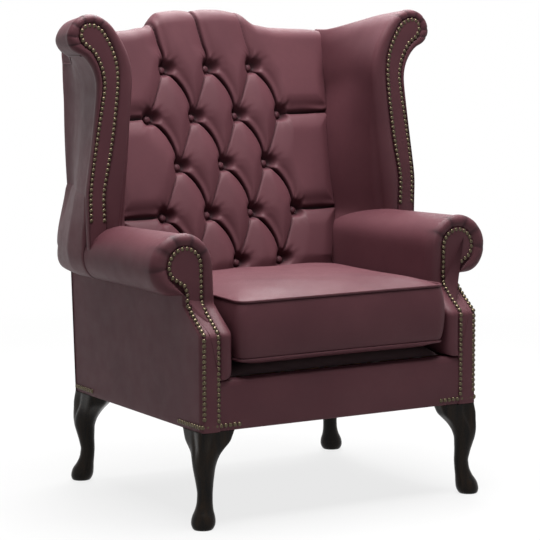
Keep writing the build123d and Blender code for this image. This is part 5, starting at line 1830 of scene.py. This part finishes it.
class Covers(Piece):
    """The front border, the outside back and the deck pad under the cushion."""

    def __init__(self, palette: Palette, sizes: CoverSizes = CoverSizes()) -> None:
        """Keeps the palette and the sizes."""
        super().__init__(palette)
        self.s = sizes

    def build(self) -> None:
        """Makes both covers and the deck pad."""
        self.build_border()
        self.build_back()
        self.build_deck()

    def build_deck(self) -> None:
        """Makes the seat deck: a flat pad in dark cloth with a rounded nose behind the front border."""
        s = self.s
        turn = np.linspace(0.0, np.pi / 2, 12)
        rise = s.deck_top_z - s.deck_low_z
        front = s.lip_y + s.deck_gap
        run = np.linspace(front + s.deck_nose, s.deck_back_y, 22)[1:]
        profile = np.concatenate([
            np.column_stack([front + s.deck_nose * (1.0 - np.cos(turn)), s.deck_low_z + rise * np.sin(turn)]),
            np.column_stack([run, np.full(len(run), s.deck_top_z)]),
            [(s.deck_back_y, s.deck_low_z)],
        ])
        share = np.sin(np.linspace(-np.pi / 2, np.pi / 2, 44))
        edge = np.sqrt(np.clip(1.0 - share**8, 0.0, 1.0))
        z = s.deck_low_z + (profile[:, 1:] - s.deck_low_z) * edge
        cloth = self.palette.get(DECK_CLOTH)
        obj = sheet("seat_deck_pad", s.deck_half * share, profile[:, :1], z, cloth)
        self.settle(obj, "deck_cloth", "seat_deck", fill=s.deck_fill)

    def build_border(self) -> None:
        """Makes the front border with its rounded top edge and a turned lower lip."""
        s = self.s
        low, high, front = CARCASS.leg_height, CARCASS.border_top_z, CARCASS.front_y
        turn = np.linspace(0.0, np.pi / 2, 9)
        profile = np.concatenate([
            [(front + 0.006, low), (front + 0.001, low + 0.0005), (front - 0.0004, low + 0.0035)],
            np.column_stack([np.full(18, front - 0.0008),
                             np.linspace(low + 0.007, high - s.border_edge - 0.002, 18)]),
            np.column_stack([front + s.border_edge - s.border_edge * np.cos(turn),
                             high - s.border_edge + s.border_edge * np.sin(turn)]),
            np.column_stack([np.linspace(front + s.border_edge + 0.004, s.lip_y, 5), np.full(5, high)]),
            [(s.lip_y, high - 0.006)],
        ])
        x = np.linspace(-s.border_half, s.border_half, 80)
        wave = s.border_wave * (np.sin(31.0 * x + 0.8) + 0.7 * np.sin(57.0 * x + 2.0))
        band = bell(profile[:, 1], s.border_puff_z, s.border_puff_run)
        y = profile[:, :1] - (s.border_puff + wave[None, :]) * band[:, None]
        obj = sheet("front_border_cover", x, y, profile[:, 1:], self.palette.get(LEATHER))
        self.settle(obj, "leather", "front_border")

    def build_back(self) -> None:
        """Makes the outside back, turned in at its edges."""
        s = self.s
        low, high = CARCASS.leg_height, s.back_top_z
        z = np.concatenate([[low], np.linspace(low + 0.004, high - 0.004, 70), [high]])
        half = np.interp(z, *zip(*s.back_half))
        t = np.concatenate([[-1.0, -0.988], np.linspace(-0.96, 0.96, 50), [0.988, 1.0]])
        x = half[:, None] * t[None, :]
        edge = np.minimum(half[:, None] - np.abs(x), np.minimum(z - low, high - z)[:, None])
        full = np.clip(edge / s.back_puff_run, 0.0, 1.0)
        y = CARCASS.rear(z)[:, None] - s.back_inset + s.back_puff * np.sqrt(full)
        y[edge <= 1e-6] -= s.back_turn
        obj = sheet("outside_back_cover", x, y, z[:, None], self.palette.get(LEATHER), turned=True)
        self.settle(obj, "leather", "outside_back")


# Legs

@dataclass(frozen=True)
class LegSizes:
    """A cabriole leg from the floor up.

    Each level holds its height, its middle's inset from the corner, its widths across and along, and how much
    of the knee's shape it has, all as shares.
    """

    levels: tuple[tuple[float, float, float, float, float], ...] = (
        (0.000, 0.114, 0.43, 0.43, 0.0), (0.025, 0.118, 0.53, 0.52, 0.0), (0.070, 0.132, 0.57, 0.55, 0.0),
        (0.130, 0.150, 0.53, 0.52, 0.0), (0.190, 0.188, 0.42, 0.42, 0.0), (0.260, 0.222, 0.365, 0.36, 0.0),
        (0.360, 0.240, 0.355, 0.34, 0.0), (0.470, 0.216, 0.41, 0.39, 0.0), (0.620, 0.181, 0.52, 0.51, 0.1),
        (0.700, 0.193, 0.61, 0.60, 0.25), (0.765, 0.224, 0.73, 0.69, 0.5), (0.820, 0.258, 0.91, 0.79, 0.85),
        (0.880, 0.300, 1.13, 0.93, 1.0), (1.000, 0.353, 1.29, 1.0, 1.0),
    )
    knee: tuple[tuple[float, float], ...] = (
        (1.0, 0.0), (-0.35, 1.0), (-1.0, 0.52), (-1.0, -0.52), (-0.35, -1.0),
    )
    width: float = 0.093
    sides: int = 96
    rows: int = 80
    ridge: float = 0.035
    ridge_turn: float = 0.16
    flute: float = 0.085
    flute_place: float = 0.62
    flute_turn: float = 0.26
    swell_place: float = 0.84
    swell_run: float = 0.16


class Leg(Piece):
    """A cabriole leg with a winged knee, a fluted front, a slim ankle and a pad foot."""

    def __init__(self, palette: Palette, sizes: LegSizes = LegSizes()) -> None:
        """Keeps the palette and the sizes."""
        super().__init__(palette)
        self.s = sizes

    def knee_reach(self, turn: np.ndarray) -> np.ndarray:
        """Gives how far the knee's outline lies from its middle, its corners eased.

        Args:
            turn: The directions, evenly all round.

        Returns:
            The reach in each direction.
        """
        corners = np.array(self.s.knee)
        after = np.roll(corners, -1, axis=0)
        reach = np.full(len(turn), FAR)
        for (x0, y0), (x1, y1) in zip(corners, after):
            cross = x0 * y1 - x1 * y0
            facing = np.cos(turn) * (y1 - y0) - np.sin(turn) * (x1 - x0)
            hit = np.where(np.abs(facing) > 1e-9, cross / np.where(facing == 0.0, 1.0, facing), FAR)
            reach = np.minimum(reach, np.where(hit > 0.0, hit, FAR))
        return softened(reach, 5)

    def build(self, name: str, node: str, side: float, front: bool) -> None:
        """Makes one leg.

        Args:
            name: The object's name.
            node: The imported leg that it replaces.
            side: -1 for the left and 1 for the right.
            front: Whether it is a front leg.
        """
        s = self.s
        table = np.array(s.levels)
        rise = np.linspace(0.0, 1.0, s.rows)
        inset, across, along, knee = (
            eased(np.interp(rise, table[:, 0], table[:, k]), 2, 4) for k in (1, 2, 3, 4)
        )
        turn = 2 * np.pi * np.arange(s.sides) / s.sides
        head = self.knee_reach(turn)
        reach = 1.0 + knee[:, None] * (head[None, :] - 1.0)
        swell = bell(rise, s.swell_place, s.swell_run)[:, None]
        aside = np.abs(np.angle(np.exp(1j * turn)))[None, :]
        ridge = s.ridge * bell(aside, 0.0, s.ridge_turn)
        flute = s.flute * bell(aside, s.flute_place, s.flute_turn)
        reach = reach * (1.0 + swell * (ridge - flute))
        out = reach * np.cos(turn) * along[:, None] / 2
        wide = reach * np.sin(turn) * across[:, None] / 2
        root = math.sqrt(0.5)
        x_in = s.width * (inset[:, None] - root * (out + wide))
        y_in = s.width * (inset[:, None] - root * (out - wide))
        facing = 1.0 if front else -1.0
        corner_y = CARCASS.front_y if front else CARCASS.rear_y
        points = np.stack([side * (CARCASS.half_base - x_in), corner_y + facing * y_in,
                           np.broadcast_to((rise * CARCASS.leg_height)[:, None], x_in.shape)], axis=-1)
        obj = lofted(name, points, self.palette.get(MAHOGANY))
        if side * facing > 0:
            obj.data.flip_normals()
        self.settle(obj, "mahogany", node)


class Bare(Piece):
    """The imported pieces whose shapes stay: frame timbers, springs, cloths and the zip."""

    FINISHES = (
        (BEECH, ("front_rail", "back_rail", "seat_rail", "back_post", "arm_post", "arm_rail", "arm_board",
                 "tack_rail", "wing_board", "wing_rail", "crest_rail", "lower_back_rail", "corner_blocks")),
        (STEEL, ("seat_springs", "spring_clips", "leg_bolts")),
        (HESSIAN, ("seat_hessian", "back_hessian", "back_webbing", "button_ties")),
        (DUST_CLOTH, ("dust_cover",)),
        (FOAM, ("cushion_core",)),
        (ZIP_TAPE, ("zip_tape",)),
        (ZIP_METAL, ("zip_slider",)),
    )

    def build(self, nodes: dict) -> None:
        """Gives each kept node its material.

        Args:
            nodes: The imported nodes' objects by name.
        """
        for name, obj in nodes.items():
            plain = name.removeprefix("left_").removeprefix("right_")
            for finish, names in self.FINISHES:
                if plain in names and obj.type == "MESH":
                    obj.data.materials.clear()
                    obj.data.materials.append(self.palette.get(finish))
                    LOG.info("%s kept, material %s", name, finish.name)


class CornerNails(Piece):
    """The short rows of studs over the legs."""

    HEIGHT = 0.218
    LIFT = 0.001
    REAR_GAP = 0.010
    FRONT_COUNT = 9
    REAR_COUNT = 8

    def build(self) -> None:
        """Makes the rows along the front and round both sides."""
        pitch, radius, z = StudSizes.pitch, StudSizes.radius, self.HEIGHT
        places, normals = [], []
        for side in (-1.0, 1.0):
            for index in range(self.FRONT_COUNT):
                run = radius + index * pitch
                places.append((side * (CARCASS.half_base - run), CARCASS.front_y - self.LIFT, z))
                normals.append((0.0, -1.0, 0.0))
                places.append((side * CARCASS.half_base, CARCASS.front_y + run, z))
                normals.append((side, 0.0, 0.0))
            for index in range(self.REAR_COUNT):
                y = float(CARCASS.rear(z, self.REAR_GAP)) - radius - index * pitch
                places.append((side * CARCASS.half_base, y, z))
                normals.append((side, 0.0, 0.0))
        Studs(self.palette).build("corner_nails", np.array(places), np.array(normals), "corner_studs")


# Stage

@dataclass(frozen=True)
class Lamp:
    """A soft studio lamp: where it stands, where it aims, its size and power."""

    name: str
    at: tuple[float, float, float]
    aim: tuple[float, float, float]
    size: tuple[float, float]
    watts: float


def seen_rays(tree: bpy.types.NodeTree) -> bpy.types.NodeSocket:
    """Picks out the rays that see a white studio.

    Args:
        tree: A material's or a world's nodes.

    Returns:
        1 for what the camera sees straight, in gloss or through glass, and 0 for every other ray.
    """
    path = tree.nodes.new("ShaderNodeLightPath")
    seen = path.outputs["Is Camera Ray"]
    for name in ("Is Glossy Ray", "Is Transmission Ray"):
        either = tree.nodes.new("ShaderNodeMath")
        either.operation = "MAXIMUM"
        tree.links.new(seen, either.inputs[0])
        tree.links.new(path.outputs[name], either.inputs[1])
        seen = either.outputs[0]
    return seen


class Stage:
    """The floor, the lights and the camera."""

    LAMPS = (
        Lamp("top_box", (0.0, -0.2, 3.4), (0.0, 0.0, 0.6), (2.4, 2.4), 305.0),
        Lamp("rim_box", (0.95, 1.5, 2.9), (0.0, 0.0, 0.6), (1.6, 1.6), 100.0),
        Lamp("front_box", (1.75, -2.45, 2.4), (0.0, 0.0, 0.6), (1.4, 1.4), 2.0),
    )
    KEPT_SHADOW = 1.3
    CLEAR_FLOOR = 2.8
    WHITE_NEAR = 0.80
    FLOOR_REACH = 9.0
    FLOOR_DARK = (0.42, 0.42, 0.42)
    FLOOR_LIGHT = (0.46, 0.46, 0.455)
    WHITE = (1.0, 1.0, 1.0, 1.0)
    FILL = (0.05, 0.05, 0.05, 1.0)
    LENS, SENSOR, FAR_CLIP = 160.87, 36.0, 50.0
    CAMERA_AT = (-2.74368, -4.65056, 1.18900)
    CAMERA_TURN = (82.616, 0.127, -30.711)

    def build(self) -> None:
        """Makes everything that isn't part of the chair."""
        self.build_floor()
        self.build_world()
        for lamp in self.LAMPS:
            self.build_lamp(lamp)
        self.build_camera()

    def build_floor(self) -> None:
        """Makes a wide pale floor that shows white and keeps a soft shadow."""
        corners = ((-1.0, -1.0, 0.0), (1.0, -1.0, 0.0), (1.0, 1.0, 0.0), (-1.0, 1.0, 0.0))
        points = self.FLOOR_REACH * np.array(corners)
        n = Nodes("pale_floor")
        n.feed(n.shader, "Roughness", 0.9)
        n.feed(n.shader, "Base Color", n.mix(n.noise(3.0), self.FLOOR_DARK, self.FLOOR_LIGHT))
        share = n.tree.nodes.new("ShaderNodeMath")
        share.operation = "MULTIPLY"
        n.tree.links.new(seen_rays(n.tree), share.inputs[0])
        reach = n.add("ShaderNodeVectorMath", Vector=n.place)
        reach.operation = "LENGTH"
        far = n.ramp(reach.outputs["Value"], self.KEPT_SHADOW, self.CLEAR_FLOOR, self.WHITE_NEAR, 1.0)
        n.tree.links.new(far, share.inputs[1])
        glow = n.add("ShaderNodeEmission", Strength=1.0)
        glow.inputs["Color"].default_value = self.WHITE
        both = n.tree.nodes.new("ShaderNodeMixShader")
        n.tree.links.new(share.outputs[0], both.inputs[0])
        n.tree.links.new(n.shader.outputs[0], both.inputs[1])
        n.tree.links.new(glow.outputs[0], both.inputs[2])
        n.tree.links.new(both.outputs[0], n.tree.nodes["Material Output"].inputs["Surface"])
        floor = make_object("studio_floor", points, [(0, 1, 2, 3)], n.material)

    def build_world(self) -> None:
        """Makes a white background for what the camera, gloss and glass see, and a plain fill elsewhere."""
        world = bpy.data.worlds.new("studio")
        bpy.context.scene.world = world
        world.use_nodes = True
        tree = world.node_tree
        mix = tree.nodes.new("ShaderNodeMix")
        mix.data_type = "RGBA"
        mix.inputs[6].default_value = self.FILL
        mix.inputs[7].default_value = self.WHITE
        tree.links.new(seen_rays(tree), mix.inputs[0])
        background = tree.nodes["Background"]
        tree.links.new(mix.outputs[2], background.inputs["Color"])
        background.inputs["Strength"].default_value = 1.0

    def build_lamp(self, lamp: Lamp) -> None:
        """Makes one area lamp.

        Args:
            lamp: Its place, aim, size and power.
        """
        data = bpy.data.lights.new(lamp.name, "AREA")
        data.shape, data.energy = "RECTANGLE", lamp.watts
        data.size, data.size_y = lamp.size
        obj = bpy.data.objects.new(lamp.name, data)
        bpy.context.scene.collection.objects.link(obj)
        obj.location = lamp.at
        obj.rotation_euler = (Vector(lamp.aim) - Vector(lamp.at)).to_track_quat("-Z", "Y").to_euler()

    def build_camera(self) -> None:
        """Makes the camera at the photograph's viewing angle."""
        data = bpy.data.cameras.new("photo_camera")
        data.sensor_width, data.lens, data.clip_end = self.SENSOR, self.LENS, self.FAR_CLIP
        camera = bpy.data.objects.new("photo_camera", data)
        camera.location = self.CAMERA_AT
        camera.rotation_euler = [math.radians(angle) for angle in self.CAMERA_TURN]
        bpy.context.scene.collection.objects.link(camera)
        bpy.context.scene.camera = camera


def main() -> None:
    """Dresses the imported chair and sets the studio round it."""
    logging.basicConfig(level=logging.INFO, format="%(message)s")
    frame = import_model()
    bpy.context.scene.view_settings.view_transform = "Standard"
    palette = Palette()
    Stage().build()
    ButtonedBack(palette).build()
    for side, sign in SIDES:
        Wing(palette, side, sign < 0).build()
        Arm(palette, side, sign < 0).build()
    Cushion(palette).build()
    Covers(palette).build()
    CornerNails(palette).build()
    for side, sign in SIDES:
        Leg(palette).build("front_" + side + "_cabriole", "front_" + side + "_leg", sign, True)
        Leg(palette).build("rear_" + side + "_cabriole", "rear_" + side + "_leg", sign, False)
    Bare(palette).build(frame["nodes"])


if __name__ == "__main__":
    main()
